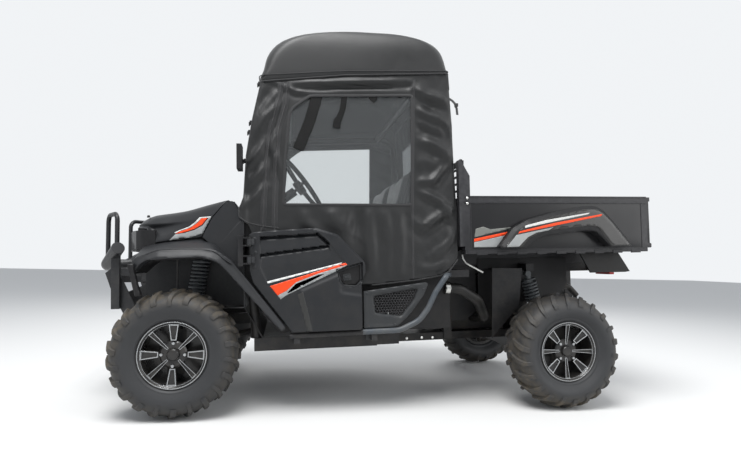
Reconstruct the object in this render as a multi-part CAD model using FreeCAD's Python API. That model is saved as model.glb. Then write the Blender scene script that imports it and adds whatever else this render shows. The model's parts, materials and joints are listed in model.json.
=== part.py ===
import FreeCAD, Part
import math
import os

# Side by side utility vehicle with a soft cab, a tipping bed and half doors, in millimetres.
# Ground frame: X forward, Y to the left, Z up, origin on the ground under the middle.
# The sprung body is drawn level and then leans nose down by RAKE_DEG, as it stands unladen.
# The axles are drawn at AXLE_Z, and at the end everything is set down on its tyres.

V = FreeCAD.Vector

WHEELBASE = 2085.0
TYRE_RADIUS = 317.5
AXLE_Z = 317.5
FRONT_AXLE_X = 1082.5
REAR_AXLE_X = FRONT_AXLE_X - WHEELBASE
TRACK_HALF = 640.0
RAKE_DEG = 2.3
RAKE_PIVOT_Z = 320.0
SEAT_GAP = 0.3

TYRE_WIDTH_FRONT = 232.0
TYRE_WIDTH_REAR = 258.0
LUGS_PER_SIDE = 13
LUG_HEIGHT = 21.0
LUG_THICKNESS = 27.0
LUG_SKEW_DEG = 24.0

RIM_FLANGE_RADIUS = 166.0
RIM_SEAT_RADIUS = 152.4
RIM_WALL = 6.0
RIM_WIDTH = 178.0
RIM_DISH = 34.0
SPOKES = 8
# half widths of the wide and the narrow spokes, at the hub and at the rim
SPOKE_HALVES = ((15.0, 21.0), (6.0, 10.5))
BORE_CLEARANCE = 0.05
SPINDLE_RADIUS = 17.0

KINGPIN_Y = 548.0
ARM_RADIUS = 11.0
LUG_PLATE = 16.0
LOW_BOSS_Z = (AXLE_Z - 139.5, AXLE_Z - 109.5)
HIGH_BOSS_Z = (AXLE_Z + 112.5, AXLE_Z + 139.5)
LOW_BALL_Z = AXLE_Z - 127.5
HIGH_BALL_Z = AXLE_Z + 128.5
STEER_ARM_Z = (AXLE_Z + 12.5, AXLE_Z + 26.5)
SHOCK_SHARE = 0.55

FRAME_LOW_Z = 352.0
FRAME_TUBE = 60.0
SILL_Y = (580.0, 640.0)
FRONT_RAIL_Y = (150.0, 210.0)
FRONT_RAIL_Z = (440.0, 500.0)
REAR_RAIL_Y = (250.0, 310.0)
REAR_RAIL_Z = (710.0, 770.0)
ARM_SPREAD = 130.0
CARRIER_PLATE = 8.0

CAGE_RADIUS = 24.0
CAGE_Y = 605.0
CAGE_BEND = 90.0

CURTAIN_Y = 655.0
CURTAIN_WALL = 6.0
PANE_WALL = 2.0
CAP_WALL = 6.0

SEAT_BOX_X = 320.0
DOOR_Y = (676.0, 724.0)
HINGE_X = 716.0
HINGE_Y = 737.0
HINGE_RADIUS = 7.0

HOOD_PIVOT = (814.0, 1132.0)
HOOD_BARREL = 6.5
HOOD_PIN = 4.0
HOOD_HINGE_Y = 250.0
HOOD_REACH = 470.0
HOOD_CLEARANCE = 6.0

BED_FRONT_X = -429.0
BED_REAR_X = REAR_AXLE_X - 547.5
RAIL_END_X = BED_REAR_X + 100.0
BED_HALF = 690.0
BED_WALL = 4.0
BED_FLOOR_Z = 848.0
BED_TOP_Z = 1146.0
BED_RAIL = 36.0
BED_PIVOT = (BED_REAR_X + 110.0, 826.0)
BED_PIN_RADIUS = 10.0
TAILGATE_WALL = 28.0
GATE_PIN_RADIUS = 6.0

FLARE_Y = (440.0, 760.0)
BED_FLARE_Y = (BED_HALF, BED_HALF + 64.0)
STEERING_HUB = (430.0, 330.0, 1250.0)
STEERING_RADIUS = 175.0
STEERING_TILT_DEG = 53.7


def rounded_edges(points, radii, closed):
    """Straight runs joined by tangent arcs; a radius of 0 keeps a corner sharp."""
    count = len(points)
    corners = []
    for i, (corner, radius) in enumerate(zip(points, radii)):
        if radius == 0 or (not closed and i in (0, count - 1)):
            corners.append((corner, None, corner))
            continue
        back = (points[i - 1] - corner).normalize()
        ahead = (points[(i + 1) % count] - corner).normalize()
        half = back.getAngle(ahead) / 2
        reach = radius / math.tan(half)
        middle = corner + (back + ahead).normalize() * (radius / math.sin(half) - radius)
        corners.append((corner + back * reach, middle, corner + ahead * reach))
    edges = []
    for i, (start, middle, end) in enumerate(corners):
        if middle is not None:
            edges.append(Part.Arc(start, middle, end).toShape())
        if closed or i < count - 1:
            following = corners[(i + 1) % count][0]
            if (following - end).Length > 0.001:
                edges.append(Part.LineSegment(end, following).toShape())
    return edges


def outline(points, place):
    """A closed face from (u, v) or (u, v, corner radius) points; place maps (u, v) to space."""
    radii = [p[2] if len(p) > 2 else 0 for p in points]
    corners = [place(p[0], p[1]) for p in points]
    return Part.Face(Part.Wire(rounded_edges(corners, radii, True)))


def prism_x(points, x):
    """(y, z) outline, extruded from x[0] to x[1]."""
    return outline(points, lambda u, v: V(x[0], u, v)).extrude(V(x[1] - x[0], 0, 0))


def prism_y(points, y):
    """(x, z) outline, extruded from y[0] to y[1]."""
    return outline(points, lambda u, v: V(u, y[0], v)).extrude(V(0, y[1] - y[0], 0))


def prism_z(points, z):
    """(x, y) outline, extruded from z[0] to z[1]."""
    return outline(points, lambda u, v: V(u, v, z[0])).extrude(V(0, 0, z[1] - z[0]))


def block(x, y, z):
    return Part.makeBox(x[1] - x[0], y[1] - y[0], z[1] - z[0], V(x[0], y[0], z[0]))


def shifted(points, x):
    """The same (x, z) or (x, z, corner radius) points, moved along the vehicle."""
    return [(p[0] + x,) + tuple(p[1:]) for p in points]


def rod(a, b, radius):
    a, b = V(*a), V(*b)
    return Part.makeCylinder(radius, (b - a).Length, a, b - a)


def revolve_y(profile, centre, turn=360):
    """(radius, y) outline turned about a lateral axis through centre (x, z)."""
    face = outline(profile, lambda r, y: V(centre[0] + r, y, centre[1]))
    return face.revolve(V(centre[0], 0, centre[1]), V(0, 1, 0), turn)


def bent_tube(points, radius, bend):
    """A round tube through points, with one bend radius or one for each point."""
    corners = [V(*p) for p in points]
    bends = bend if isinstance(bend, (list, tuple)) else [bend] * len(corners)
    runs = []
    start = corners[0]
    for i in range(1, len(corners)):
        way = (corners[i] - corners[i - 1]).normalize()
        if i == len(corners) - 1 or bends[i] == 0:
            runs.append(Part.makeCylinder(radius, (corners[i] - start).Length, start, way))
            start = corners[i]
            continue
        onward = (corners[i + 1] - corners[i]).normalize()
        turn = way.getAngle(onward)
        reach = bends[i] * math.tan(turn / 2)
        end = corners[i] - way * reach
        hinge = way.cross(onward)
        centre = end + hinge.cross(way).normalize() * bends[i]
        runs.append(Part.makeCylinder(radius, (end - start).Length, start, way))
        disc = Part.Face(Part.Wire(Part.makeCircle(radius, end, way)))
        runs.append(disc.revolve(centre, hinge, math.degrees(turn)))
        start = corners[i] + onward * reach
    return joined(runs)[0]


def mirrored(shape):
    return shape.mirror(V(0, 0, 0), V(0, 1, 0))


def both_sides(shapes):
    return list(shapes) + [mirrored(s) for s in shapes]


def joined(shapes):
    shapes = list(shapes)
    result = shapes[0]
    if len(shapes) > 1:
        result = shapes[0].multiFuse(shapes[1:])
    return result.removeSplitter().Solids


def without(shapes, tools):
    """Cut the tools out of every solid, so that the pieces meet face to face."""
    cutter = Part.makeCompound(tools)
    left = []
    for shape in shapes:
        left += shape.cut(cutter).Solids
    return left


def raked(shapes):
    turned = []
    for shape in shapes:
        copy = shape.copy()
        copy.rotate(V(0, 0, RAKE_PIVOT_Z), V(0, 1, 0), RAKE_DEG)
        turned.append(copy)
    return turned


def to_ground(x, y, z):
    """A point of the level body, in the ground frame."""
    lean = math.radians(RAKE_DEG)
    rise = z - RAKE_PIVOT_Z
    return (x * math.cos(lean) + rise * math.sin(lean), y,
            RAKE_PIVOT_Z + rise * math.cos(lean) - x * math.sin(lean))


def to_body(x, y, z):
    """A point of the ground frame, in the level body's own frame."""
    lean = math.radians(RAKE_DEG)
    rise = z - RAKE_PIVOT_Z
    return (x * math.cos(lean) - rise * math.sin(lean), y,
            RAKE_PIVOT_Z + rise * math.cos(lean) + x * math.sin(lean))


AXLE_BODY_FRONT = to_body(FRONT_AXLE_X, 0, AXLE_Z)
AXLE_BODY_REAR = to_body(REAR_AXLE_X, 0, AXLE_Z)
FRONT_X = AXLE_BODY_FRONT[0]
REAR_X = AXLE_BODY_REAR[0]
ENGINE_X = (REAR_X + 162.0, REAR_X + 522.0)


def frame_rails():
    """Welded ladder frame, with plates that carry the arms and ears for the bed's pivot."""
    low, top = FRAME_LOW_Z, FRAME_LOW_Z + FRAME_TUBE
    ax, az, rx = FRONT_X, AXLE_BODY_FRONT[2], REAR_X
    # columns: x low, x high, y low, y high, z low, z high; mirrored to the other side
    sides = (
        (-60, 700, SILL_Y[0], SILL_Y[1], low, top),
        (700, 1300, FRONT_RAIL_Y[0], FRONT_RAIL_Y[1], FRONT_RAIL_Z[0], FRONT_RAIL_Z[1]),
        (690, 745, FRONT_RAIL_Y[0], FRONT_RAIL_Y[1], low, FRONT_RAIL_Z[1]),
        (1250, 1300, FRONT_RAIL_Y[0], FRONT_RAIL_Y[1], FRONT_RAIL_Z[0], 760),
        (ax - 122, ax - 72, FRONT_RAIL_Y[0], FRONT_RAIL_Y[1], FRONT_RAIL_Z[0], 900),
        (rx - ARM_SPREAD, -60, 240, 300, 312, 352),
        (-470, -420, REAR_RAIL_Y[0], REAR_RAIL_Y[1], 312, BED_FLOOR_Z - 42),
        (RAIL_END_X, -420, REAR_RAIL_Y[0], REAR_RAIL_Y[1], REAR_RAIL_Z[0], REAR_RAIL_Z[1]),
        (-470, -350, REAR_RAIL_Y[0], 630, 700, 740),
        (rx + 42, rx + 92, REAR_RAIL_Y[0], 440, 720, 765),
    )
    # the same columns, across the middle
    cross = (
        (640, 700, -SILL_Y[1], SILL_Y[1], low, top),
        (300, 350, -SILL_Y[1], SILL_Y[1], low, top - 12),
        (-60, 0, -SILL_Y[1], SILL_Y[1], low, top),
        (ax - 122, ax - 72, -405, 405, 880, 920),
        (1250, 1300, -FRONT_RAIL_Y[1], FRONT_RAIL_Y[1], 700, 760),
        (RAIL_END_X, RAIL_END_X + 50, -REAR_RAIL_Y[1], REAR_RAIL_Y[1], REAR_RAIL_Z[0], REAR_RAIL_Z[1]),
        (-60, 0, -300, 300, 312, low),
    )
    steel = []
    for x0, x1, y0, y1, z0, z1 in sides:
        steel += both_sides([block((x0, x1), (y0, y1), (z0, z1))])
    for x0, x1, y0, y1, z0, z1 in cross:
        steel.append(block((x0, x1), (y0, y1), (z0, z1)))
    for side in (-1, 1):
        x = ax + side * ARM_SPREAD
        plate = prism_x([(-222, 296, 20), (222, 296, 20), (222, 520, 20), (-222, 520, 20)],
                        (x - CARRIER_PLATE / 2, x + CARRIER_PLATE / 2))
        steel.append(plate.cut(rod((x - 20, 0, az + 20), (x + 20, 0, az + 20), 62)))
        x = rx + side * ARM_SPREAD
        plate = prism_x([(-230, 236, 20), (230, 236, 20), (306, 400, 20), (306, 720), (-306, 720),
                         (-306, 400, 20)], (x - CARRIER_PLATE / 2, x + CARRIER_PLATE / 2))
        steel.append(plate.cut(block((x - 20, x + 20), (-180, 180), (290, 640))))
    ears = bed_ears()
    return joined(steel + ears)


def bed_ears():
    """Ears on the rear rails, with the pins that the bed tips on."""
    x, z = BED_PIVOT
    y0, y1 = REAR_RAIL_Y
    round_top = BED_PIN_RADIUS + 6
    ear = [(x - round_top, REAR_RAIL_Z[0] + 8), (x - round_top, z + round_top, round_top - 0.5),
           (x + round_top, z + round_top, round_top - 0.5), (x + 40, REAR_RAIL_Z[0] + 8)]
    plates = [prism_y(ear, (y0 - 9, y0 - 1)), prism_y(ear, (y1 + 1, y1 + 9))]
    pin = rod((x, y0 - 13, z), (x, y1 + 13, z), BED_PIN_RADIUS)
    collar = block((x + 24, x + 40), (y0 - 9, y1 + 9), (REAR_RAIL_Z[0] + 8, REAR_RAIL_Z[1]))
    return both_sides(plates + [pin, collar])


def skid_plate():
    """Pressed plates under the cab, the engine and the front gearbox."""
    belly = block((60, 700), (-SILL_Y[1], SILL_Y[1]), (FRAME_LOW_Z - 5, FRAME_LOW_Z))
    tail = block((REAR_X + 152, 0), (-300, 300), (307, 312))
    step = prism_y([(-6, 307), (0, 307), (66, 347), (66, 352), (60, 352), (0, 312), (-6, 312)],
                   (-300, 300))
    return joined([belly, tail, step])


def floor_tub(cage):
    """Cab floor, slanted toe board, seat box with its deck, and the wall behind the seats."""
    wall = 6.0
    top = FRAME_LOW_Z + FRAME_TUBE
    floor = prism_y([(-20, top), (660, top), (744, 560), (744, 568), (655, top + wall),
                     (-20, top + wall)], (-640, 640))
    front = block((SEAT_BOX_X, SEAT_BOX_X + wall), (-560, 560), (top + wall, 746))
    deck = block((-386, SEAT_BOX_X + wall), (-560, 560), (740, 746))
    sides = both_sides([block((-20, SEAT_BOX_X), (554, 560), (top + wall, 740))])
    back = block((-386, -380), (-560, 560), (746, 1080))
    tub = joined([floor, front, deck, back] + sides)
    return without(tub, cage)


def cowl(cage):
    """Firewall, scuttle deck, side cheeks and the inner fender walls."""
    shell = prism_y([(804, 1136), (756, 1046), (744, 1036), (744, 568), (751, 568), (751, 1025),
                     (762, 1034), (811, 1124)], (-640, 640))
    cheek = prism_y([(744, 735), (744, 1030), (756, 1036), (812, 1136), (900, 1030), (948, 936),
                     (885, 872), (795, 806)], (640, 672))
    inner = prism_y([(744, 560), (744, 900), (948, 925), (1250, 890), (1300, 780), (1300, 560)],
                    (326, 332))
    return without(joined([shell] + both_sides([cheek, inner] + hood_brackets())), cage + hood_room())


FLARE_OUTER = ((1267, 757), (1263, 829, 30), (1148, 873, 60), (885, 869, 90), (795, 803, 60),
               (522, 448, 4), (563, 466, 8))
FLARE_INNER = ((867, 804, 60), (938, 827, 40), (1200, 819, 50))


def front_fenders(cheeks):
    """Wide arch over each front wheel, and the sloped skin between it and the hood."""
    band = prism_y(FLARE_OUTER + FLARE_INNER, (DOOR_Y[0], FLARE_Y[1]))
    liner = prism_y(FLARE_OUTER + FLARE_INNER, (FLARE_Y[0], DOOR_Y[0]))
    liner = liner.common(block((760, 1300), FLARE_Y, (700, 900)))
    # columns: x, flare height, seam height at the hood, underside
    table = ((1250, 800, 892, 785), (1148, 856, 905, 842), (885, 852, 938, 840), (815, 806, 985, 795))
    sections = []
    for x, flare, seam, under in table:
        corners = ((740, under), (740, flare), (590, seam), (440, seam), (440, under))
        sections.append([V(x, y, z) for y, z in corners])
    skin = flat_sided(sections, False)
    return without(both_sides(joined([band, liner, skin])), cheeks)


def grille():
    """Front panel with its opening and upright ribs."""
    frame = prism_x([(-330, 700, 30), (330, 700, 30), (345, 1000, 40), (-345, 1000, 40)], (1300, 1322))
    hole = prism_x([(-290, 760, 20), (290, 760, 20), (300, 960, 30), (-300, 960, 30)], (1290, 1330))
    ribs = [block((1302, 1320), (y - 7, y + 7), (750, 970)) for y in range(-260, 261, 52)]
    bar = block((1304, 1318), (-295, 295), (850, 866))
    return joined([frame.cut(hole), bar] + ribs)


def headlights():
    """Wrap-round lamp at each front corner, between the grille and the fender."""
    plan = [(1226, 336), (1226, 588), (1290, 560), (1330, 500), (1345, 440), (1345, 336)]
    side = [(1226, 925), (1226, 894), (1340, 870), (1346, 955), (1315, 975), (1226, 975)]
    lamp = prism_z(plan, (860, 1010)).common(prism_y(side, (330, 600)))
    return both_sides([lamp.cut(hood_arc(HOOD_REACH + HOOD_CLEARANCE))])


def hood_block(inset):
    # columns: x, half width at the seam, seam height, half width at the shoulder, shoulder, crown
    table = ((822, 600, 1104, 560, 1118, 1136), (880, 598, 1018, 535, 1086, 1134),
             (948, 592, 948, 500, 1058, 1126), (1117, 590, 922, 455, 1020, 1088),
             (1236, 585, 905, 420, 1010, 1074), (1292, 520, 900, 380, 975, 1030))
    sections = []
    for x, seam_y, seam, side_y, side, crown in table:
        drop = 0.55 * inset
        a, b = V(x, seam_y - inset, seam), V(x, side_y - inset, side - drop)
        c, d = V(x, -side_y + inset, side - drop), V(x, -seam_y + inset, seam)
        edges = [Part.makeLine(a, b), Part.Arc(b, V(x, 0, crown - inset), c).toShape(),
                 Part.makeLine(c, d), Part.makeLine(d, a)]
        sections.append(Part.Wire(edges))
    return Part.makeLoft(sections, True, True)


def hood_arc(radius):
    """Drum about the lid's hinge line; its front edge beside the lamps follows it."""
    x, z = HOOD_PIVOT
    return rod((x, -700, z), (x, 700, z), radius)


def hood_barrel(y, radius):
    x, z = HOOD_PIVOT
    return rod((x, HOOD_HINGE_Y + y[0], z), (x, HOOD_HINGE_Y + y[1], z), radius)


def hood_brackets():
    """Two eyes either side of the left barrel, with the pin through them."""
    x, z = HOOD_PIVOT
    pieces = [hood_barrel((-28, 28), HOOD_PIN)]
    for y in ((-28, -16), (16, 28)):
        foot = block((x - 14, x), (HOOD_HINGE_Y + y[0], HOOD_HINGE_Y + y[1]), (z - 10, z + HOOD_BARREL))
        pieces += [hood_barrel(y, HOOD_BARREL), foot]
    return pieces


def hood_room():
    """Pocket in the scuttle behind each barrel."""
    x, z = HOOD_PIVOT
    pocket = block((x - 12, x + 12), (HOOD_HINGE_Y - 16, HOOD_HINGE_Y + 16), (z - 12, z + 12))
    return both_sides([pocket.cut(hood_barrel((-28, 28), HOOD_PIN))])


def hood():
    """Pressed lid over the front, open underneath, with its two hinge barrels."""
    wall = 6.0
    shell = hood_block(0).cut(hood_block(wall).cut(block((1286, 1400), (-700, 700), (800, 1200))))
    brow = block((1228, 1400), (-346, 346), (800, 1008))
    lamps = both_sides([block((1180, 1400), (345, 700), (800, 983)).cut(hood_arc(HOOD_REACH))])
    x, z = HOOD_PIVOT
    leaf = block((x, x + 30), (HOOD_HINGE_Y - 14, HOOD_HINGE_Y + 14), (z - 5, z + 3))
    barrels = both_sides([hood_barrel((-14, 14), HOOD_BARREL), leaf])
    bores = both_sides([hood_barrel((-30, 30), HOOD_PIN + BORE_CLEARANCE)])
    lid = joined(without([shell], [brow] + lamps) + barrels)
    return without(lid, bores)


def front_guard():
    """Bowed bumper tube, two narrow hoops, uprights and the slanted plates to the frame."""
    bar = bent_tube([(1456, 385, 894), (1511.8, 190, 800), (1511.8, -190, 800), (1456, -385, 894)],
                    35, 180)
    hoops = []
    for side in (-1, 1):
        hoop = bent_tube([(1452, side * 330, 700), (1452, side * 330, 1081), (1488, side * 200, 1081),
                          (1488, side * 200, 700)], 14, 55)
        post = block((1440, 1478), sorted((side * 318, side * 342)), (560, 880))
        plate = prism_y([(1478, 600), (1440, 640), (1300, 700), (1300, 500), (1390, 470)],
                        sorted((side * 200, side * 212)))
        hoops += [hoop, post, plate]
    cross = block((1446, 1476), (-342, 342), (600, 640))
    stays = both_sides([block((1300, 1482), (198, 214), (700, 740))])
    return joined([bar, cross] + hoops + stays)


SIDE_PANEL = ((140, 641), (-218, 682, 12), (-187, 612, 20), (-14, 446, 20), (140, 448))
GRILLE_FIELD = ((112, 476), (112, 618), (-158, 618), (-4, 476))
HEXAGON_PITCH = 34.0
HEXAGON_RADIUS = 13.0


def side_panels():
    """Panel behind each half door, with a honeycomb grille through it."""
    panel = prism_y(SIDE_PANEL, (686, 706))
    field = outline(GRILLE_FIELD, lambda u, v: V(u, 0, v))
    holes = []
    for column in range(8):
        x = 96 - column * HEXAGON_PITCH * math.cos(math.radians(30))
        for row in range(4):
            z = 490 + (row + 0.5 * (column % 2)) * HEXAGON_PITCH
            if field.isInside(V(x, 0, z), 0.1, True):
                hexagon = [(x + HEXAGON_RADIUS * math.cos(math.radians(60 * k)),
                            z + HEXAGON_RADIUS * math.sin(math.radians(60 * k))) for k in range(6)]
                holes.append(prism_y(hexagon, (680, 712)))
    panel = panel.cut(Part.makeCompound(holes))
    bracket = block((60, 120), (640, 686), (452, 470))
    hanger = block((60, 120), (640, 646), (380, 470))
    return both_sides(joined([panel, bracket, hanger]))


def sill_guards():
    """Bent tube that runs under each side panel and up behind it."""
    path = [(520, 700, 425), (-60, 700, 425), (-215, 700, 530), (-340, 700, 712), (-364, 620, 716)]
    tube = bent_tube(path, 15, [0, 90, 160, 30, 0])
    feet = [block((x, x + 30), (640, 696), (380, 425)) for x in (460, 60)]
    return both_sides(joined([tube] + feet))


def roll_cage():
    """Bent tube loops each side of the cab, tied across at the roof and behind the seats."""
    # points: sill, cowl, windscreen header, rear header, outrigger
    loop = bent_tube([(690, CAGE_Y, 412), (732, CAGE_Y, 1020), (636, CAGE_Y, 1716),
                      (-330, CAGE_Y, 1762), (-355, CAGE_Y, 740)], CAGE_RADIUS,
                     [0, 300, CAGE_BEND, CAGE_BEND, 0])
    # columns: x, z of each tube across the cab
    table = ((500, 1722.5), (-200, 1755.8), (-341.4, 1300), (-350.2, 930))
    across = [rod((x, -CAGE_Y, z), (x, CAGE_Y, z), CAGE_RADIUS - 4) for x, z in table]
    return joined(both_sides([loop]) + across)


CAP_SIDE = ((660, 1746), (584, 1903, 120), (504, 1979, 90), (342, 2022, 200), (50, 2049, 400),
            (-120, 2049, 300), (-304, 1985, 120), (-362, 1900, 70), (-370, 1803))


def roof_cap():
    """Domed soft roof cap, hollow, with its hem below the cage's rails."""
    half = CURTAIN_Y + CURTAIN_WALL + SEAT_GAP
    inner_side = [(660 - CAP_WALL, 1700), (578, 1900, 114), (500, 1972, 84), (341, 2016, 194),
                  (50, 2043, 394), (-120, 2043, 294), (-301, 1979, 114), (-356, 1897, 64),
                  (-370 + CAP_WALL, 1700)]
    top = 2049.0
    front_view = [(half + CAP_WALL, 1690), (half + CAP_WALL, 1930, 200), (half - 90, top + 1, 100),
                  (-half + 90, top + 1, 100), (-half - CAP_WALL, 1930, 200), (-half - CAP_WALL, 1690)]
    inner_view = [(half, 1690), (half, 1926, 196), (half - 92, top - CAP_WALL + 1, 96),
                  (-half + 92, top - CAP_WALL + 1, 96), (-half, 1926, 196), (-half, 1690)]
    outer = prism_y(CAP_SIDE, (-half - CAP_WALL, half + CAP_WALL)).common(prism_x(front_view, (-500, 800)))
    inner = prism_y(inner_side, (-half, half)).common(prism_x(inner_view, (-500, 800)))
    return joined([outer.cut(inner)])


WINDOW = ((545, 1099, 12), (535, 1332, 200), (508, 1599, 90), (403, 1677, 50), (-155, 1701, 12),
          (-142, 1098, 12))
CAB_FRONT = ((664, 1737), (705, 1533), (735, 1353), (749, 1135), (756, 1037))
CAB_REAR = ((-364, 1785), (-382, 1545), (-385, 1374), (-394, 1161), (-397, 991), (-393, 770))
CURTAIN_FOOT = ((-386, 770), (-307, 722), (-155, 694), (86, 674), (190, 900), (744, 900), (744, 1030))


def side_curtains():
    """Quilted side panel of the soft cab, each side, with its window cut."""
    tuck = ((-340, 1806), (600, 1762), (612, 1745))
    edge = CAB_FRONT + CURTAIN_FOOT[::-1] + CAB_REAR[::-1] + tuck
    panel = prism_y(edge, (CURTAIN_Y, CURTAIN_Y + CURTAIN_WALL))
    window = prism_y(WINDOW, (CURTAIN_Y - 10, CURTAIN_Y + 20))
    return both_sides([panel.cut(window)])


def side_windows():
    middle = CURTAIN_Y + CURTAIN_WALL / 2
    return both_sides([prism_y(WINDOW, (middle - PANE_WALL / 2, middle + PANE_WALL / 2))])


def slanted(edge, wall, y):
    """A sheet that follows an edge seen from the side, its outer face on that edge."""
    inner = [(x - wall, z) for x, z in reversed(edge)]
    return prism_y(list(edge) + inner, y)


def front_curtain():
    """Front sheet of the cab around the windscreen."""
    sheet = slanted(CAB_FRONT, CURTAIN_WALL, (-CURTAIN_Y, CURTAIN_Y))
    return [sheet.cut(block((600, 800), (-575, 575), (1120, 1670)))]


def windscreen():
    sheet = slanted(CAB_FRONT, CURTAIN_WALL, (-CURTAIN_Y, CURTAIN_Y))
    return [sheet.common(block((600, 800), (-575, 575), (1120, 1670)))]


def rear_curtain():
    sheet = slanted(CAB_REAR, -CURTAIN_WALL, (-CURTAIN_Y, CURTAIN_Y))
    return [sheet.cut(block((-450, -300), (-480, 480), (1270, 1640)))]


def rear_window():
    sheet = slanted(CAB_REAR, -CURTAIN_WALL, (-CURTAIN_Y, CURTAIN_Y))
    return [sheet.common(block((-450, -300), (-480, 480), (1270, 1640)))]


def seat_cushions():
    """Driver's and passenger's cushions on the seat box."""
    side = [(-150, 746.3), (330, 746.3, 20), (400, 792, 30), (412, 850, 25), (330, 882, 60),
            (-150, 846, 30)]
    return [prism_y(side, (60, 540)), prism_y(side, (-540, 40))]


def seat_backs():
    side = [(-58, 852), (-150, 848, 20), (-268, 1320, 40), (-216, 1345, 30), (-160, 1300, 40),
            (-60, 900, 60)]
    return [prism_y(side, (70, 530)), prism_y(side, (-530, 30))]


def dashboard(cage):
    """Moulded dash across the cab, with a hood over the dial."""
    side = [(744, 1008), (744, 900), (670, 860, 30), (610, 960, 40), (600, 1060, 40), (690, 1100, 40),
            (744, 1070)]
    body = prism_y(side, (-640, 640))
    pod = prism_y([(600, 1050), (588, 1108, 20), (650, 1135, 30), (720, 1100, 20), (720, 1060)], (200, 460))
    return without(joined([body, pod]), cage)


def steering_direction():
    tilt = math.radians(STEERING_TILT_DEG)
    return V(-math.sin(tilt), 0, math.cos(tilt))


def steering_column():
    """Fixed column from the dash, hollow at its end for the wheel's shaft."""
    centre, axis = V(*STEERING_HUB), steering_direction()
    start = centre - axis * 60
    tube = Part.makeCylinder(26, 190, start, axis * -1)
    bore = Part.makeCylinder(9 + BORE_CLEARANCE, 60, start, axis * -1)
    return [tube.cut(bore)]


def steering_wheel():
    """Rim, three spokes, hub and shaft."""
    centre, axis = V(*STEERING_HUB), steering_direction()
    across = V(0, 1, 0)
    up = axis.cross(across)
    section = [centre + across * (STEERING_RADIUS + 14 * math.cos(math.radians(a)))
               + axis * 14 * math.sin(math.radians(a)) for a in range(0, 360, 60)]
    ring = Part.Face(Part.makePolygon(section + section[:1])).revolve(centre, axis, 360)
    hub = Part.makeCylinder(42, 40, centre - axis * 45, axis)
    shaft = Part.makeCylinder(9, 105, centre - axis * 115, axis)
    spokes = []
    for angle in (0, 180, 270):
        way = across * math.cos(math.radians(angle)) + up * math.sin(math.radians(angle))
        lean = way * STEERING_RADIUS + axis * 20
        spokes.append(Part.makeCylinder(9, STEERING_RADIUS, centre - axis * 20, lean))
    return joined([ring, hub, shaft] + spokes)


DOOR = ((716, 942), (700, 950, 40), (400, 968, 60), (290, 930, 60), (150, 785, 50), (150, 446, 20),
        (508, 446, 6), (513, 452), (700, 700, 30), (716, 760))


def half_door():
    """Left half door: bowed panel, upper recess, handle recess and the hinge barrels."""
    panel = prism_y(DOOR, DOOR_Y)
    recess = prism_y([(670, 905, 15), (372, 905, 15), (300, 850, 15), (672, 835, 15)],
                     (DOOR_Y[1] - 8, DOOR_Y[1] + 10))
    ribs = [prism_y([(665, z), (345, z), (330, z - 10), (665, z - 10)], (DOOR_Y[1] - 9, DOOR_Y[1] - 2))
            for z in (892, 868)]
    pull = prism_y([(236, 812, 12), (176, 780, 12), (176, 740, 12), (236, 752, 12)],
                   (DOOR_Y[1] - 20, DOOR_Y[1] + 10))
    panel = panel.cut(recess).cut(pull)
    barrels = []
    for z in (800, 890):
        arm = block((690, HINGE_X), (DOOR_Y[1] - 6, HINGE_Y + 4), (z, z + 30))
        barrels += [arm, rod((HINGE_X, HINGE_Y, z), (HINGE_X, HINGE_Y, z + 30), HINGE_RADIUS + 5)]
    bores = [rod((HINGE_X, HINGE_Y, z - 5), (HINGE_X, HINGE_Y, z + 35), HINGE_RADIUS + BORE_CLEARANCE)
             for z in (800, 890)]
    leaf = joined([panel] + ribs + barrels)
    return without(leaf, bores)


def door_hinges():
    """Hinge pins on the cowl cheeks, with a bracket above and below each barrel."""
    pieces = []
    for z in (800, 890):
        pieces.append(rod((HINGE_X, HINGE_Y, z - 8), (HINGE_X, HINGE_Y, z + 38), HINGE_RADIUS))
        for low in (z - 8, z + 30.5):
            pieces.append(rod((HINGE_X, HINGE_Y, low), (HINGE_X, HINGE_Y, low + 7.5), HINGE_RADIUS + 5))
            pieces.append(block((HINGE_X, 770), (HINGE_Y - 8, HINGE_Y + 8), (low, low + 7.5)))
    plate = block((745, 770), (672, HINGE_Y + 8), (784, 936))
    return both_sides(joined(pieces + [plate]))


GATE_GAP = 5.0


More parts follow.
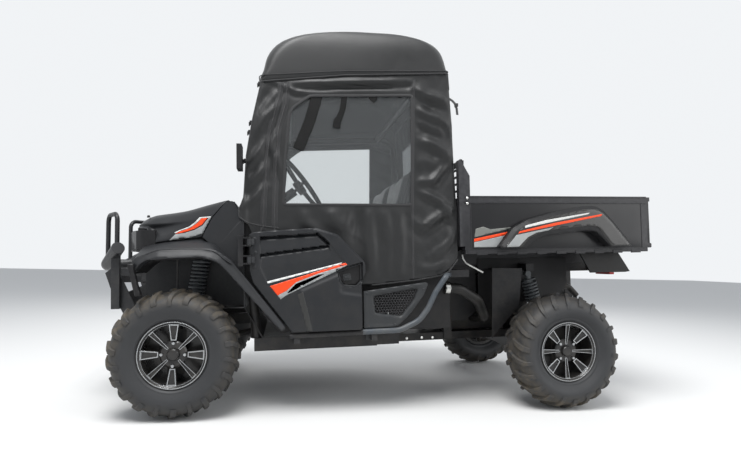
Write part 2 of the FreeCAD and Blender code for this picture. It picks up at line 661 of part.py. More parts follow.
def bed_tub():
    """Steel load bed: floor, sides with a boxed rail, posts, headboard and the beams under it."""
    x0, x1 = BED_REAR_X, BED_FRONT_X
    z0, z1 = BED_FLOOR_Z, BED_TOP_Z
    half = BED_HALF
    steel = [block((x0, x1), (-half, half), (z0, z0 + BED_WALL)),
             block((x1 - BED_WALL, x1), (-half, half), (z0, z1))]
    # columns: x low, x high, y low, y high, z low, z high; mirrored to the other side
    sides = (
        (x0, x1, half - BED_WALL, half, z0, z1),
        (x0, x1, half - BED_RAIL, half, z1 - 34, z1),
        (x1 - BED_RAIL, x1, half - BED_RAIL, half, z0, z1),
        (x0, x0 + BED_RAIL, half - BED_RAIL, half, z0, z1),
        (x0 + 40, x1 - 5, REAR_RAIL_Y[0] + 4, REAR_RAIL_Y[1] - 4, z0 - 42 + SEAT_GAP, z0),
    )
    for a, b, c, d, e, f in sides:
        steel += both_sides([block((a, b), (c, d), (e, f))])
    steel.append(block((x1 - BED_RAIL, x1), (-half, half), (z1 - 34, z1)))
    head = prism_y(shifted([(27, 1120), (27, 1342), (15, 1350), (-11, 1300), (-36, 1257), (-36, 1120)], x1),
                   (half - 40, half))
    mesh = [block((x1 - 3, x1 + 3), (-half + 20, half - 20), (z, z + 12)) for z in range(1180, 1341, 40)]
    uprights = [block((x1 - 6, x1 + 6), (y - 6, y + 6), (1140, 1346)) for y in range(-450, 451, 150)]
    foot = block((x1, x1 + 27), (half - 40, half), (z0 + 20, 1130))
    cap = block((x1 - 11, x1 + 13), (-half + 20, half - 20), (1322, 1346))
    steel += both_sides([head, foot]) + mesh + uprights + [cap]
    x, z = BED_PIVOT
    bore = rod((x, -600, z), (x, 600, z), BED_PIN_RADIUS + BORE_CLEARANCE)
    gate = gate_pins()
    return without(joined(steel + gate), [bore])


GATE_PIVOT = (BED_REAR_X - 14.0, BED_FLOOR_Z + 14.0)


def gate_pins():
    """Ears with pins at the foot of the bed's opening, where the tailgate swings down."""
    x, z = GATE_PIVOT
    ear = [(BED_REAR_X + 2, z - 14), (x - 10, z - 14, 8), (x - 10, z + 12, 8), (BED_REAR_X + 2, z + 14)]
    plates = prism_y(ear, (BED_HALF - 10, BED_HALF))
    pin = rod((x, BED_HALF - 40, z), (x, BED_HALF - 4, z), GATE_PIN_RADIUS)
    return both_sides([plates, pin])


def tailgate():
    """Ribbed steel gate, with a curled top edge and a latch handle."""
    x1 = BED_REAR_X - GATE_GAP
    x0 = x1 - TAILGATE_WALL
    half = BED_HALF - 16
    z0, z1 = GATE_PIVOT[1], BED_TOP_Z - 2
    panel = block((x0 + 6, x1), (-half, half), (z0, z1))
    ribs = [block((x0, x0 + 8), (-half + 40, half - 40), (z, z + 40)) for z in (890, 990, 1080)]
    lip = block((x0 - 2, x0 + 8), (-half, half), (z1 - 24, z1))
    handle = block((x0 - 12, x0 + 8), (-90, 90), (1040, 1070))
    x, z = GATE_PIVOT
    foot = rod((x, -half, z), (x, half, z), 9)
    bore = rod((x, BED_HALF - 44, z), (x, BED_HALF + 10, z), GATE_PIN_RADIUS + BORE_CLEARANCE)
    return without(joined([panel, lip, handle, foot] + ribs), both_sides([bore]))


def bed_flares():
    """Moulded arch on each side of the bed."""
    band = [(-420, 859, 10), (-242, 1062, 40), (-191, 1086, 50), (242, 1013, 90), (396, 852, 10),
            (267, 852), (177, 908, 50), (-124, 951, 40), (-174, 942, 40), (-253, 857)]
    return both_sides([prism_y(shifted(band, REAR_X), BED_FLARE_Y)])


def mud_guards():
    """Guard under each rear corner of the bed, behind the wheel."""
    side = [(-185, 848), (-438, 848), (-530, 708), (-498, 704), (-267, 704)]
    y = BED_HALF - 138
    flange = block((REAR_X - 438, REAR_X - 185), (y, BED_HALF - 10), (842, 848))
    return both_sides(joined([prism_y(shifted(side, REAR_X), (y - 12, y)), flange]))


def engine_block():
    return [block(ENGINE_X, (-232, 232), (352, 690))]


def gearboxes():
    """Front and rear final drives, and the propeller shaft up to the tunnel."""
    fx, fz = FRONT_X, AXLE_BODY_FRONT[2]
    rx, rz = REAR_X, AXLE_BODY_REAR[2]
    snout = fz - 26
    front = [rod((fx, -95, fz), (fx, 95, fz), 80), rod((fx - 175, 0, snout), (fx, 0, snout), 28)]
    front.append(block((fx - 60, fx + 60), (-60, 60), (fz + 40, FRONT_RAIL_Z[1] - 2)))
    front.append(block((fx - 20, fx + 20), (-FRONT_RAIL_Y[0], FRONT_RAIL_Y[0]), (fz + 90, fz + 110)))
    rear = [rod((rx, -120, rz), (rx, 120, rz), 92)]
    rear.append(block((rx - 78, ENGINE_X[0]), (-110, 110), (rz + 42, 560)))
    rear.append(block((rx - 30, rx + 30), (-REAR_RAIL_Y[0], REAR_RAIL_Y[0]), (540, 560)))
    shaft = rod((fx - 175, 0, snout), (690, 0, 380), 19)
    return joined(front + [shaft]) + joined(rear)


def muffler():
    """Cross-mounted silencer behind the engine, with its bent tailpipe."""
    x, z = REAR_X - 260.0, 640.0
    can = rod((x, -170, z), (x, 190, z), 70)
    pipe = bent_tube([(x - 28, 120, z - 40), (x - 118, 120, z - 40), (x - 178, 120, z - 105)], 19,
                     [0, 50, 0])
    strap = block((x - 13, x + 12), (-REAR_RAIL_Y[0] - 6, REAR_RAIL_Y[0] + 6), (704, REAR_RAIL_Z[0]))
    front = bent_tube([(x + 32, -90, z + 20), (x + 142, -90, z), (x + 162, -160, z),
                       (ENGINE_X[0], -160, z)], 22, [0, 40, 40, 0])
    return joined([can, pipe, strap, front])


def intake_duct():
    """Ribbed duct from the side of the cab down to the drive case."""
    start, end = -345.0, ENGINE_X[0] + 200
    along = [start + share * (end - start) for share in (0, 0.32, 0.73, 1, 1)]
    path = list(zip(along, (560, 560, 520, 420, 232), (640, 632, 560, 450, 430)))
    tube = bent_tube(path, 30, [0, 100, 90, 60, 0])
    clamp = rod((-352, 560, 639.5), (-372, 560, 638), 34)
    stay = block((-372, -356), (552, 568), (668, 700))
    return joined([tube, clamp, stay])


def heat_shield():
    side = [(333, 743), (143, 739), (169, 520), (346, 330)]
    panel = prism_y(shifted(side, REAR_X), (486, 490))
    stay = block((REAR_X + 202, REAR_X + 302), (REAR_RAIL_Y[1], 486), (735, 739))
    return both_sides(joined([panel, stay]))[:1]


def arm_pair(axle_x, inner, outer_z, boss, share):
    """One A-shaped arm: inner bush tube at (y, z), ball joint boss at the kingpin, and a web."""
    spread = ARM_SPREAD - CARRIER_PLATE
    outer = (KINGPIN_Y, outer_z)
    front, rear = (axle_x + spread, inner[0], inner[1]), (axle_x - spread, inner[0], inner[1])
    ball = (axle_x, outer[0], outer[1])
    pieces = [rod(front, ball, ARM_RADIUS), rod(rear, ball, ARM_RADIUS), rod(front, rear, 15)]
    pieces.append(rod((axle_x, outer[0], boss[0]), (axle_x, outer[0], boss[1]), 20))
    y = inner[0] + (outer[0] - inner[0]) * share
    z = inner[1] + (outer[1] - inner[1]) * share
    half = spread * (1 - share)
    pieces.append(rod((axle_x - half, y, z), (axle_x + half, y, z), 11))
    return joined(pieces)


def front_arms():
    lower = arm_pair(FRONT_AXLE_X, (200, AXLE_Z - 32.5), LOW_BALL_Z, LOW_BOSS_Z, 0.6)
    upper = arm_pair(FRONT_AXLE_X, (205, AXLE_Z + 137.5), HIGH_BALL_Z, HIGH_BOSS_Z, SHOCK_SHARE)
    return both_sides(lower + upper)


def rear_arms():
    lower = arm_pair(REAR_AXLE_X, (210, AXLE_Z - 37.5), LOW_BALL_Z, LOW_BOSS_Z, 0.6)
    upper = arm_pair(REAR_AXLE_X, (210, AXLE_Z + 152.5), HIGH_BALL_Z, HIGH_BOSS_Z, SHOCK_SHARE)
    return both_sides(lower + upper)


def largest(shapes, count):
    """The pieces proper, without the slices of bush left outside a carrier plate."""
    return sorted(shapes, key=lambda s: -s.Volume)[:count]


def coil_over(foot, head, radius, turns):
    """Damper inside a coil, drawn as a ribbed sleeve of many-sided rings, with an eye at each end."""
    a, b = V(*foot), V(*head)
    length = (b - a).Length
    pitch = (length - 130) / turns
    # columns: height, radius
    table = [(0, 15), (55, 15), (55, radius)]
    for turn in range(turns):
        z = 55 + turn * pitch
        table += [(z + pitch * 0.4, radius), (z + pitch * 0.7, radius - 13), (z + pitch, radius)]
    table += [(length - 60, 26), (length, 15)]
    rings = []
    for z, reach in table:
        rings.append([V(reach * math.cos(k * math.pi / 6), reach * math.sin(k * math.pi / 6), z)
                      for k in range(12)])
    eyes = [Part.makeBox(36, 36, 36, V(-18, -18, z - 18)) for z in (0, length)]
    shape = flat_sided(rings, False).multiFuse(eyes)
    shape.Placement = FreeCAD.Placement(a, FreeCAD.Rotation(V(0, 0, 1), b - a))
    return shape


def front_shocks(tools):
    head = to_ground(FRONT_X - 97, 385, 863)
    shock = coil_over((FRONT_AXLE_X - 30, 392, AXLE_Z + 160.5), head, 44, 6)
    return without(both_sides([shock]), tools)


def rear_shocks(tools):
    head = to_ground(REAR_X + 67, 400, 703)
    shock = coil_over((REAR_AXLE_X + 14, 396, AXLE_Z + 167.5), head, 42, 6)
    return without(both_sides([shock]), tools)


def half_shafts(tools):
    """Drive shaft to each wheel, with a ribbed boot at both ends."""
    shafts = []
    y1 = KINGPIN_Y
    profile = [(0, 95), (44, 95), (44, 130), (14, 182), (14, y1 - 100), (34, y1 - 48), (34, y1 + 16),
               (18, y1 + 32), (0, y1 + 32)]
    for x in (FRONT_AXLE_X, REAR_AXLE_X):
        shafts.append(revolve_y(profile, (x, AXLE_Z)))
    return without(both_sides(shafts), tools)


def upright(axle_x):
    """C-shaped carrier, open inboard, with its spindle."""
    z0, z1 = LOW_BOSS_Z[1] + SEAT_GAP, HIGH_BOSS_Z[0] - SEAT_GAP
    web = block((axle_x - 42, axle_x + 42), (592, 614), (z0, z1))
    lug = [(axle_x - 22, 526, 20), (axle_x + 22, 526, 20), (axle_x + 34, 596), (axle_x - 34, 596)]
    lugs = [prism_z(lug, (z, z + LUG_PLATE)) for z in (z0, z1 - LUG_PLATE)]
    spindle = rod((axle_x, 614, AXLE_Z), (axle_x, 700, AXLE_Z), SPINDLE_RADIUS)
    boss = rod((axle_x, 600, AXLE_Z), (axle_x, 622, AXLE_Z), 34)
    return [web, spindle, boss] + lugs


STEER_ARM = (-96.0, -6.0)


def knuckle():
    """Left steering knuckle with its arm and the eye for the tie rod."""
    x = FRONT_AXLE_X
    eye = (x + STEER_ARM[0], KINGPIN_Y + STEER_ARM[1])
    steer = prism_z([(x - 30, 592), (x - 30, 606), (eye[0] - 12, eye[1] + 14), (eye[0] - 12, eye[1] - 8),
                     (eye[0] + 12, eye[1] - 8)], STEER_ARM_Z)
    boss = rod((eye[0], eye[1], STEER_ARM_Z[0]), (eye[0], eye[1], STEER_ARM_Z[1]), 15)
    return joined(upright(x) + [steer, boss])


def rear_uprights(tools):
    return without(both_sides(joined(upright(REAR_AXLE_X))), tools)


def tie_rod():
    """Left tie rod, from the eye on the knuckle to inside the rack's boot."""
    x, y = FRONT_AXLE_X + STEER_ARM[0], KINGPIN_Y + STEER_ARM[1]
    z = STEER_ARM_Z[1] + SEAT_GAP
    eye = rod((x, y, z), (x, y, z + 20), 15)
    bar = rod((x, 245, z + 10), (x, y, z + 10), 7)
    nut = rod((x, y - 60, z + 10), (x, y - 20, z + 10), 10)
    return joined([eye, bar, nut])


def steering_rack():
    """Rack housing on the front rails, with an open boot at each end."""
    x = FRONT_AXLE_X + STEER_ARM[0]
    z = STEER_ARM_Z[1] + 10 + SEAT_GAP
    housing = rod((x, -170, z), (x, 170, z), 24)
    profile = [(26, 165), (34, 170), (34, 300), (28, 300), (28, 176), (0, 176), (0, 165)]
    boot = revolve_y(profile, (x, z))
    stay = block((x - 12, x + 12), (FRONT_RAIL_Y[0] + 4, FRONT_RAIL_Y[1] - 10), (z + 20, z + 66))
    return [housing, boot, mirrored(boot)] + both_sides([stay])


def rim(axle_x, first):
    """Left alloy wheel: barrel, eight spokes, wide and narrow by turns, and the hub."""
    z = AXLE_Z
    mid = TRACK_HALF
    y0, y1 = mid - RIM_WIDTH / 2, mid + RIM_WIDTH / 2
    seat, wall, flange = RIM_SEAT_RADIUS, RIM_WALL, RIM_FLANGE_RADIUS
    barrel = [(seat - wall, y0), (flange, y0), (flange, y0 + 8), (seat, y0 + 8), (seat, y1 - 8),
              (flange, y1 - 8), (flange, y1), (seat - wall, y1)]
    face_y = y1 - RIM_DISH
    # columns: radius, y of the hub's turned profile
    hub = [(0, 628), (46, 628), (52, face_y), (30, face_y + 24), (0, face_y + 24)]
    pieces = [revolve_y(barrel, (axle_x, z)), revolve_y(hub, (axle_x, z))]
    for k in range(SPOKES):
        inner, outer = SPOKE_HALVES[(k + first) % 2]
        spoke = prism_y([(30, -inner), (150, -outer), (150, outer), (30, inner)], (face_y - 6, face_y + 14))
        spoke.translate(V(axle_x, 0, z))
        spoke.rotate(V(axle_x, 0, z), V(0, 1, 0), k * 360 / SPOKES)
        pieces.append(spoke)
    bore = rod((axle_x, 600, z), (axle_x, 701, z), SPINDLE_RADIUS + BORE_CLEARANCE)
    return without(joined(pieces), [bore])


def ring_corners(radius, y, centre, sides):
    """Corners of a many-sided ring about a lateral axis, with one flat under each lug of a row."""
    reach = radius / math.cos(math.pi / sides)
    corners = []
    for k in range(sides):
        angle = 2 * math.pi * (k + 0.5) / sides
        corners.append(V(centre[0] + reach * math.sin(angle), y, centre[1] - reach * math.cos(angle)))
    return corners


def flat_sided(rings, closed):
    """Solid with flat faces between rings of as many corners; closed joins the last to the first."""
    sides = len(rings[0])
    faces = []
    pairs = list(zip(rings, rings[1:] + rings[:1])) if closed else list(zip(rings, rings[1:]))
    for low, high in pairs:
        for k in range(sides):
            n = (k + 1) % sides
            corners = [low[k], low[n], high[n], high[k]]
            lean = (corners[1] - corners[0]).cross(corners[2] - corners[0]).dot(corners[3] - corners[0])
            splits = [corners] if abs(lean) < 1e-3 else [corners[:3], [corners[0]] + corners[2:]]
            faces += [Part.Face(Part.makePolygon(c + c[:1])) for c in splits]
    if not closed:
        for ring in (rings[0], rings[-1]):
            faces.append(Part.Face(Part.makePolygon(ring + ring[:1])))
    shell = Part.makeShell(faces)
    shell.sewShape()
    solid = Part.makeSolid(shell)
    if solid.Volume < 0:
        solid.reverse()
    return solid


def tyre(axle_x, width):
    """Left tyre: carcass with two rows of slanted lugs that wrap over its shoulders."""
    mid, r, half = TRACK_HALF, TYRE_RADIUS, width / 2
    floor = r - LUG_HEIGHT
    z = AXLE_Z
    bead = RIM_WIDTH / 2 - 8
    # columns: distance from the middle plane, radius of the flats
    table = ((bead, RIM_SEAT_RADIUS + SEAT_GAP), (bead, RIM_FLANGE_RADIUS + 2), (half, 236),
             (half - 62, floor))
    stations = [(-y, radius) for y, radius in table] + [(y, radius) for y, radius in reversed(table)]
    rings = [ring_corners(radius, mid + y, (axle_x, z), 2 * LUGS_PER_SIDE) for y, radius in stations]
    carcass = flat_sided(rings, True)
    side = [(6, floor - 12), (6, r), (half - 44, r), (half - 8, r - 22), (half + 1, r - 62),
            (half - 24, r - 66)]
    lugs = []
    pitch = 360 / LUGS_PER_SIDE
    for row in (-1, 1):
        for k in range(LUGS_PER_SIDE):
            lug = prism_x([(row * y, v) for y, v in side], (-LUG_THICKNESS / 2, LUG_THICKNESS / 2))
            lug.rotate(V(0, row * half * 0.5, 0), V(0, 0, 1), row * LUG_SKEW_DEG)
            lug.translate(V(axle_x, mid, z))
            lug.rotate(V(axle_x, 0, z), V(0, 1, 0), 180 + (k + (0.5 if row < 0 else 0)) * pitch)
            lugs.append(lug)
    return joined([carcass] + lugs)


def hitch_receiver():
    """Square receiver tube under the rear cross-member, with its pin hole."""
    z = 520.0
    x = RAIL_END_X
    socket = block((x - 60, x + 110), (-25.5, 25.5), (z - 25.5, z + 25.5))
    tube = block((x - 50, x + 120), (-32, 32), (z - 32, z + 32)).cut(socket)
    drop = [block((x, x + 50), (y, y + 8), (z - 32, REAR_RAIL_Z[0])) for y in (-40, 32)]
    hole = rod((x - 12, -60, z), (x - 12, 60, z), 8)
    return without(joined([tube] + drop), [hole])


def tail_lamps():
    """Lamp on a stalk under each rear corner."""
    x, y = RAIL_END_X, REAR_RAIL_Y[1] + 70
    lamp = block((x + 4, x + 34), (y, BED_HALF - 170), (690, 740))
    stay = block((x + 14, x + 24), (REAR_RAIL_Y[1], y), (715, 735))
    return both_sides(joined([lamp, stay]))


def mirrors(curtains):
    """Door mirror each side, on a stalk from the cab's front edge."""
    head = block((745, 770), (700, 790), (1262, 1385))
    stalk = rod((740, 661, 1320), (756, 720, 1320), 8)
    return without(both_sides(joined([head, stalk])), curtains)


def build():
    """Every piece of the left side and of the middle, by node."""
    nodes = {}
    cage = roll_cage()
    frame = frame_rails()
    cage = without(cage, frame)
    cowl_parts = cowl(cage)
    tub = without(floor_tub(cage), frame + cowl_parts)
    hinges = door_hinges()
    nodes["frame_rails"] = raked(frame)
    nodes["skid_plate"] = raked(without(skid_plate(), frame))
    nodes["floor_tub"] = raked(tub)
    nodes["roll_cage"] = raked(cage)
    nodes["cowl"] = raked(without(cowl_parts, frame))
    fenders = front_fenders(cowl_parts)
    nodes["front_fenders"] = raked(fenders)
    nodes["grille"] = raked(without(grille(), frame))
    nodes["headlights"] = raked(without(headlights(), fenders + grille()))
    nodes["door_hinges"] = raked(without(hinges, cowl_parts))
    nodes["front_guard"] = raked(without(front_guard(), frame + grille()))
    nodes["side_panels"] = raked(without(side_panels(), frame))
    nodes["sill_guards"] = raked(without(sill_guards(), frame + side_panels()))
    nodes["roof_cap"] = raked(roof_cap())
    curtains = without(side_curtains(), cowl_parts + cage)
    nodes["side_curtains"] = raked(curtains)
    sheets = without(front_curtain(), cowl_parts + cage) + without(rear_curtain(), frame)
    nodes["end_curtains"] = raked(sheets)
    nodes["cab_windows"] = raked(side_windows() + windscreen() + rear_window())
    nodes["seats"] = raked(seat_cushions() + without(seat_backs(), seat_cushions()))
    dash = without(dashboard(cage), cowl_parts)
    nodes["dashboard"] = raked(dash)
    nodes["steering_column"] = raked(without(steering_column(), dash + cowl_parts))
    nodes["mirrors"] = raked(mirrors(curtains))
    nodes["engine_block"] = raked(without(engine_block(), frame))
    boxes = without(gearboxes(), frame + engine_block())
    nodes["gearboxes"] = raked(boxes)
    nodes["muffler"] = raked(without(muffler(), frame + boxes))
    nodes["intake_duct"] = raked(without(intake_duct(), frame + engine_block()))
    nodes["heat_shield"] = raked(without(heat_shield(), frame))
    nodes["hitch_receiver"] = raked(without(hitch_receiver(), frame))
    nodes["tail_lamps"] = raked(without(tail_lamps(), frame))
    nodes["hood"] = raked(hood())
    door = half_door()
    nodes["door_left"] = raked(door)
    nodes["door_right"] = raked([mirrored(s) for s in door])
    nodes["bed_tub"] = raked(bed_tub())
    nodes["bed_flares"] = raked(bed_flares())
    nodes["mud_guards"] = raked(mud_guards())
    nodes["tailgate"] = raked(tailgate())
    nodes["steering_wheel"] = raked(steering_wheel())
    ground_frame = nodes["frame_rails"]
    arms_front = largest(without(front_arms(), ground_frame), 4)
    arms_rear = largest(without(rear_arms(), ground_frame), 4)
    nodes["suspension_arms"] = arms_front + arms_rear
    nodes["coil_overs"] = front_shocks(ground_frame + arms_front) + rear_shocks(ground_frame + arms_rear)
    nodes["half_shafts"] = half_shafts(nodes["gearboxes"])
    nodes["rear_uprights"] = rear_uprights(arms_rear + nodes["half_shafts"])
    nodes["steering_rack"] = without(joined(steering_rack()), ground_frame + nodes["gearboxes"])
    left = knuckle()
    nodes["knuckle_left"] = left
    nodes["knuckle_right"] = [mirrored(s) for s in left]
    rod_left = tie_rod()
    nodes["tie_rod_left"] = rod_left
    nodes["tie_rod_right"] = [mirrored(s) for s in rod_left]
    # columns: corner, axle, tyre width, which spokes stand upright
    for corner, axle_x, width, first in (("front", FRONT_AXLE_X, TYRE_WIDTH_FRONT, 0),
                                         ("rear", REAR_AXLE_X, TYRE_WIDTH_REAR, 1)):
        wheel = rim(axle_x, first)
        rubber = tyre(axle_x, width)
        nodes["rim_%s_left" % corner] = wheel
        nodes["rim_%s_right" % corner] = [mirrored(s) for s in wheel]
        nodes["tyre_%s_left" % corner] = rubber
        nodes["tyre_%s_right" % corner] = [mirrored(s) for s in rubber]
    for solids in nodes.values():
        for solid in solids:
            solid.translate(V(0, 0, TYRE_RADIUS - AXLE_Z))
    return nodes


os.makedirs("parts", exist_ok=True)
for node, solids in build().items():
    shape = solids[0] if len(solids) == 1 else Part.makeCompound(solids)
    shape.exportStep("parts/%s.step" % node)
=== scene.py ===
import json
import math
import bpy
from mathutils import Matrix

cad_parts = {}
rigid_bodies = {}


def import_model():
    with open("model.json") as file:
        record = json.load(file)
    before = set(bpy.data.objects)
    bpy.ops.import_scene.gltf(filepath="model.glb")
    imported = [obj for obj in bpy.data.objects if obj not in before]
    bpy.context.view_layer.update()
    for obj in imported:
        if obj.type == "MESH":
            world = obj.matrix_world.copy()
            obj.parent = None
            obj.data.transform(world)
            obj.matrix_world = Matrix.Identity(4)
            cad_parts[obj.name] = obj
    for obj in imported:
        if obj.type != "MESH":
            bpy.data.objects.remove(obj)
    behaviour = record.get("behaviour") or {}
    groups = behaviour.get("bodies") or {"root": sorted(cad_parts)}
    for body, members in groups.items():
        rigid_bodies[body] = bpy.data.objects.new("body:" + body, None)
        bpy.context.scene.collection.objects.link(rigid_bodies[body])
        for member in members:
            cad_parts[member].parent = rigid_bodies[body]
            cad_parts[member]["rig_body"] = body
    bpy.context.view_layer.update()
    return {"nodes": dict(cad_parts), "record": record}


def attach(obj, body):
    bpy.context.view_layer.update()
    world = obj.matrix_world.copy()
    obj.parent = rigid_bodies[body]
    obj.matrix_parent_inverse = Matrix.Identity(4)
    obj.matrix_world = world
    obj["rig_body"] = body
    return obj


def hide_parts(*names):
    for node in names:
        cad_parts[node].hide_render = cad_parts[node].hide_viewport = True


bl_info = {
    "name": "Soft cab utility vehicle",
    "version": (1, 0, 0),
    "blender": (4, 5, 0),
    "location": "View3D > Sidebar > Vehicle",
    "description": "Panels, cloth, wheels and trim for a side by side utility vehicle, built on its frame",
    "category": "Object",
}

import bmesh
import bpy
import numpy
from mathutils import Matrix, Vector, noise
from mathutils.bvhtree import BVHTree

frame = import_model()

# Pieces of the sprung body are drawn level, in millimetres, and then lean nose down with it.
MM = 0.001
RAKE = math.radians(2.3)
RAKE_PIVOT = Vector((0, 0, 0.320))
GROUND = Matrix.Scale(MM, 4)
LEVEL = (Matrix.Translation(RAKE_PIVOT) @ Matrix.Rotation(RAKE, 4, "Y")
         @ Matrix.Translation(-RAKE_PIVOT) @ GROUND)
FRONT_AXLE, REAR_AXLE = 1082.5, -1002.5
TRACK_HALF, TYRE_RADIUS = 640.0, 317.5
TYRE_WIDTHS = {"front": 232, "rear": 258}
MERGE = 2e-5  # metres

# Colours that show through where a finish is rubbed or dusty
RUBBED, DUST = (0.12, 0.12, 0.125), (0.19, 0.165, 0.13)
GROUPS = {}
MATERIALS = {}


class VehicleFinish(bpy.types.PropertyGroup):
    """Colours of the vehicle's finishes, and the sizes of its trim."""
    body_colour: bpy.props.FloatVectorProperty(
        name="Body plastic", description="Moulded panels of the hood, doors and fenders",
        subtype="COLOR", size=3, default=(0.014, 0.015, 0.017))
    flare_colour: bpy.props.FloatVectorProperty(
        name="Flare plastic", description="Grained arches over the wheels",
        subtype="COLOR", size=3, default=(0.020, 0.020, 0.021))
    steel_colour: bpy.props.FloatVectorProperty(
        name="Steel paint", description="Black paint on the bed and the frame",
        subtype="COLOR", size=3, default=(0.014, 0.014, 0.016))
    cloth_colour: bpy.props.FloatVectorProperty(
        name="Cab cloth", description="Coated cloth of the soft cab",
        subtype="COLOR", size=3, default=(0.0075, 0.0078, 0.0082))
    rubber_colour: bpy.props.FloatVectorProperty(
        name="Tyre rubber", description="Clean rubber of the side walls",
        subtype="COLOR", size=3, default=(0.022, 0.023, 0.025))
    mud_colour: bpy.props.FloatVectorProperty(
        name="Dry mud", description="Dried soil on the treads",
        subtype="COLOR", size=3, default=(0.105, 0.085, 0.058))
    orange_colour: bpy.props.FloatVectorProperty(
        name="Orange film", description="Orange of the side stripes",
        subtype="COLOR", size=3, default=(0.80, 0.065, 0.012))
    silver_colour: bpy.props.FloatVectorProperty(
        name="Silver film", description="Silver grey of the side stripes",
        subtype="COLOR", size=3, default=(0.30, 0.31, 0.31))
    lugs: bpy.props.IntProperty(
        name="Lugs on a side", description="Tread lugs round each side of a tyre",
        default=22, min=12, max=30)
    fold_depth: bpy.props.FloatProperty(
        name="Fold depth", description="How far the folds of the cab's cloth stand out",
        default=0.011, unit="LENGTH", min=0.0, max=0.03)


def finish_of():
    return bpy.context.scene.vehicle_finish


def feed(tree, socket, value):
    """Link another node's output to an input, or set the input to a number or a colour."""
    if isinstance(value, bpy.types.NodeSocket):
        tree.links.new(value, socket)
    else:
        socket.default_value = (*value, 1.0) if isinstance(value, tuple) else value


def feed_all(tree, node, values):
    for name, value in values.items():
        feed(tree, node.inputs[name], value)


def add_node(tree, kind, **values):
    """New shader node with its inputs fed by name."""
    node = tree.nodes.new("ShaderNode" + kind)
    feed_all(tree, node, values)
    return node


def math_node(tree, operation, a, b, clamp=False):
    """Math node fed by sockets or numbers; gives its output."""
    node = add_node(tree, "Math")
    node.operation = operation
    node.use_clamp = clamp
    feed(tree, node.inputs[0], a)
    feed(tree, node.inputs[1], b)
    return node.outputs[0]


def object_place(tree):
    return add_node(tree, "TexCoord").outputs["Object"]


def noise_node(tree, place, **values):
    return add_node(tree, "TexNoise", Vector=place, **values).outputs["Fac"]


def new_group(name, inputs, outputs):
    """Empty shader group of plain numbers; inputs are (name, default)."""
    group = bpy.data.node_groups.new(name, "ShaderNodeTree")
    for socket, default in inputs:
        made = group.interface.new_socket(socket, in_out="INPUT", socket_type="NodeSocketFloat")
        made.default_value = default
    for socket in outputs:
        group.interface.new_socket(socket, in_out="OUTPUT", socket_type="NodeSocketFloat")
    GROUPS[name] = group
    return group, group.nodes.new("NodeGroupInput").outputs, group.nodes.new("NodeGroupOutput").inputs


def build_grain():
    """Moulded grain: fine cells and a slow unevenness, as a height and a mask."""
    group, source, out = new_group("Grain", (("Scale", 900.0), ("Unevenness", 0.3)), ("Height", "Mask"))
    place = object_place(group)
    cells = noise_node(group, place, Scale=source["Scale"], Detail=3.0)
    slow = noise_node(group, place, Scale=7.0, Detail=4.0)
    uneven = math_node(group, "MULTIPLY", slow, source["Unevenness"])
    feed(group, out["Height"], math_node(group, "ADD", cells, uneven))
    feed(group, out["Mask"], slow)


def build_dust():
    """Dust and dried splashes: thicker near the ground, broken up by noise, as a mask."""
    group, source, out = new_group("Dust", (("Amount", 0.5), ("Top", 0.9), ("Scale", 14.0)), ("Mask",))
    place = object_place(group)
    height = add_node(group, "SeparateXYZ", Vector=place).outputs["Z"]
    blotch = noise_node(group, place, Scale=source["Scale"], Detail=8.0, Roughness=0.65)
    below = math_node(group, "SUBTRACT", 1.0, math_node(group, "DIVIDE", height, source["Top"]), clamp=True)
    spots = math_node(group, "SUBTRACT", blotch, 0.38, clamp=True)
    mixed = math_node(group, "MULTIPLY", math_node(group, "ADD", below, 0.08), spots)
    strength = math_node(group, "MULTIPLY", source["Amount"], 6.0)
    feed(group, out["Mask"], math_node(group, "MULTIPLY", mixed, strength, clamp=True))


def build_wear():
    """Rubbed edges, lighter where the surface turns sharply, as a mask."""
    group, source, out = new_group("Edge wear", (("Amount", 0.5),), ("Mask",))
    turn = add_node(group, "NewGeometry").outputs["Pointiness"]
    speck = noise_node(group, object_place(group), Scale=60.0)
    sharp = math_node(group, "MULTIPLY", math_node(group, "SUBTRACT", turn, 0.53), 9.0, clamp=True)
    broken = math_node(group, "MULTIPLY", sharp, speck)
    feed(group, out["Mask"], math_node(group, "MULTIPLY", broken, source["Amount"], clamp=True))


def build_weave():
    """Plain weave of a coated cloth, as a height, with its slack as a mask."""
    group, source, out = new_group("Weave", (("Scale", 420.0), ("Slack", 0.25)), ("Height", "Mask"))
    place = object_place(group)
    threads = []
    for direction in ("X", "Z"):
        wave = add_node(group, "TexWave", Vector=place, Scale=source["Scale"], Distortion=0.4)
        wave.bands_direction = direction
        threads.append(wave.outputs["Fac"])
    slack = noise_node(group, place, Scale=16.0, Detail=5.0)
    soft = math_node(group, "MULTIPLY", slack, source["Slack"])
    feed(group, out["Height"], math_node(group, "ADD", math_node(group, "MULTIPLY", *threads), soft))
    feed(group, out["Mask"], slack)


def put_group(tree, name, **values):
    """Outputs of a group placed in a material with its own input values."""
    node = add_node(tree, "Group")
    node.node_tree = GROUPS[name]
    feed_all(tree, node, values)
    return node.outputs


def colour_mix(tree, mask, below, above):
    """Colour below, covered by above where the mask is 1; either may be a socket."""
    node = add_node(tree, "Mix")
    node.data_type = "RGBA"
    for index, value in ((0, mask), (6, below), (7, above)):
        feed(tree, node.inputs[index], value)
    return node.outputs[2]


def uneven_colour(tree, mask, colour, low, high):
    """A colour that shifts between low and high times its strength."""
    return colour_mix(tree, mask, tuple(c * low for c in colour), tuple(c * high for c in colour))


def uneven_roughness(tree, mask, roughness, swing):
    return math_node(tree, "ADD", math_node(tree, "MULTIPLY", mask, swing), roughness - swing / 2)


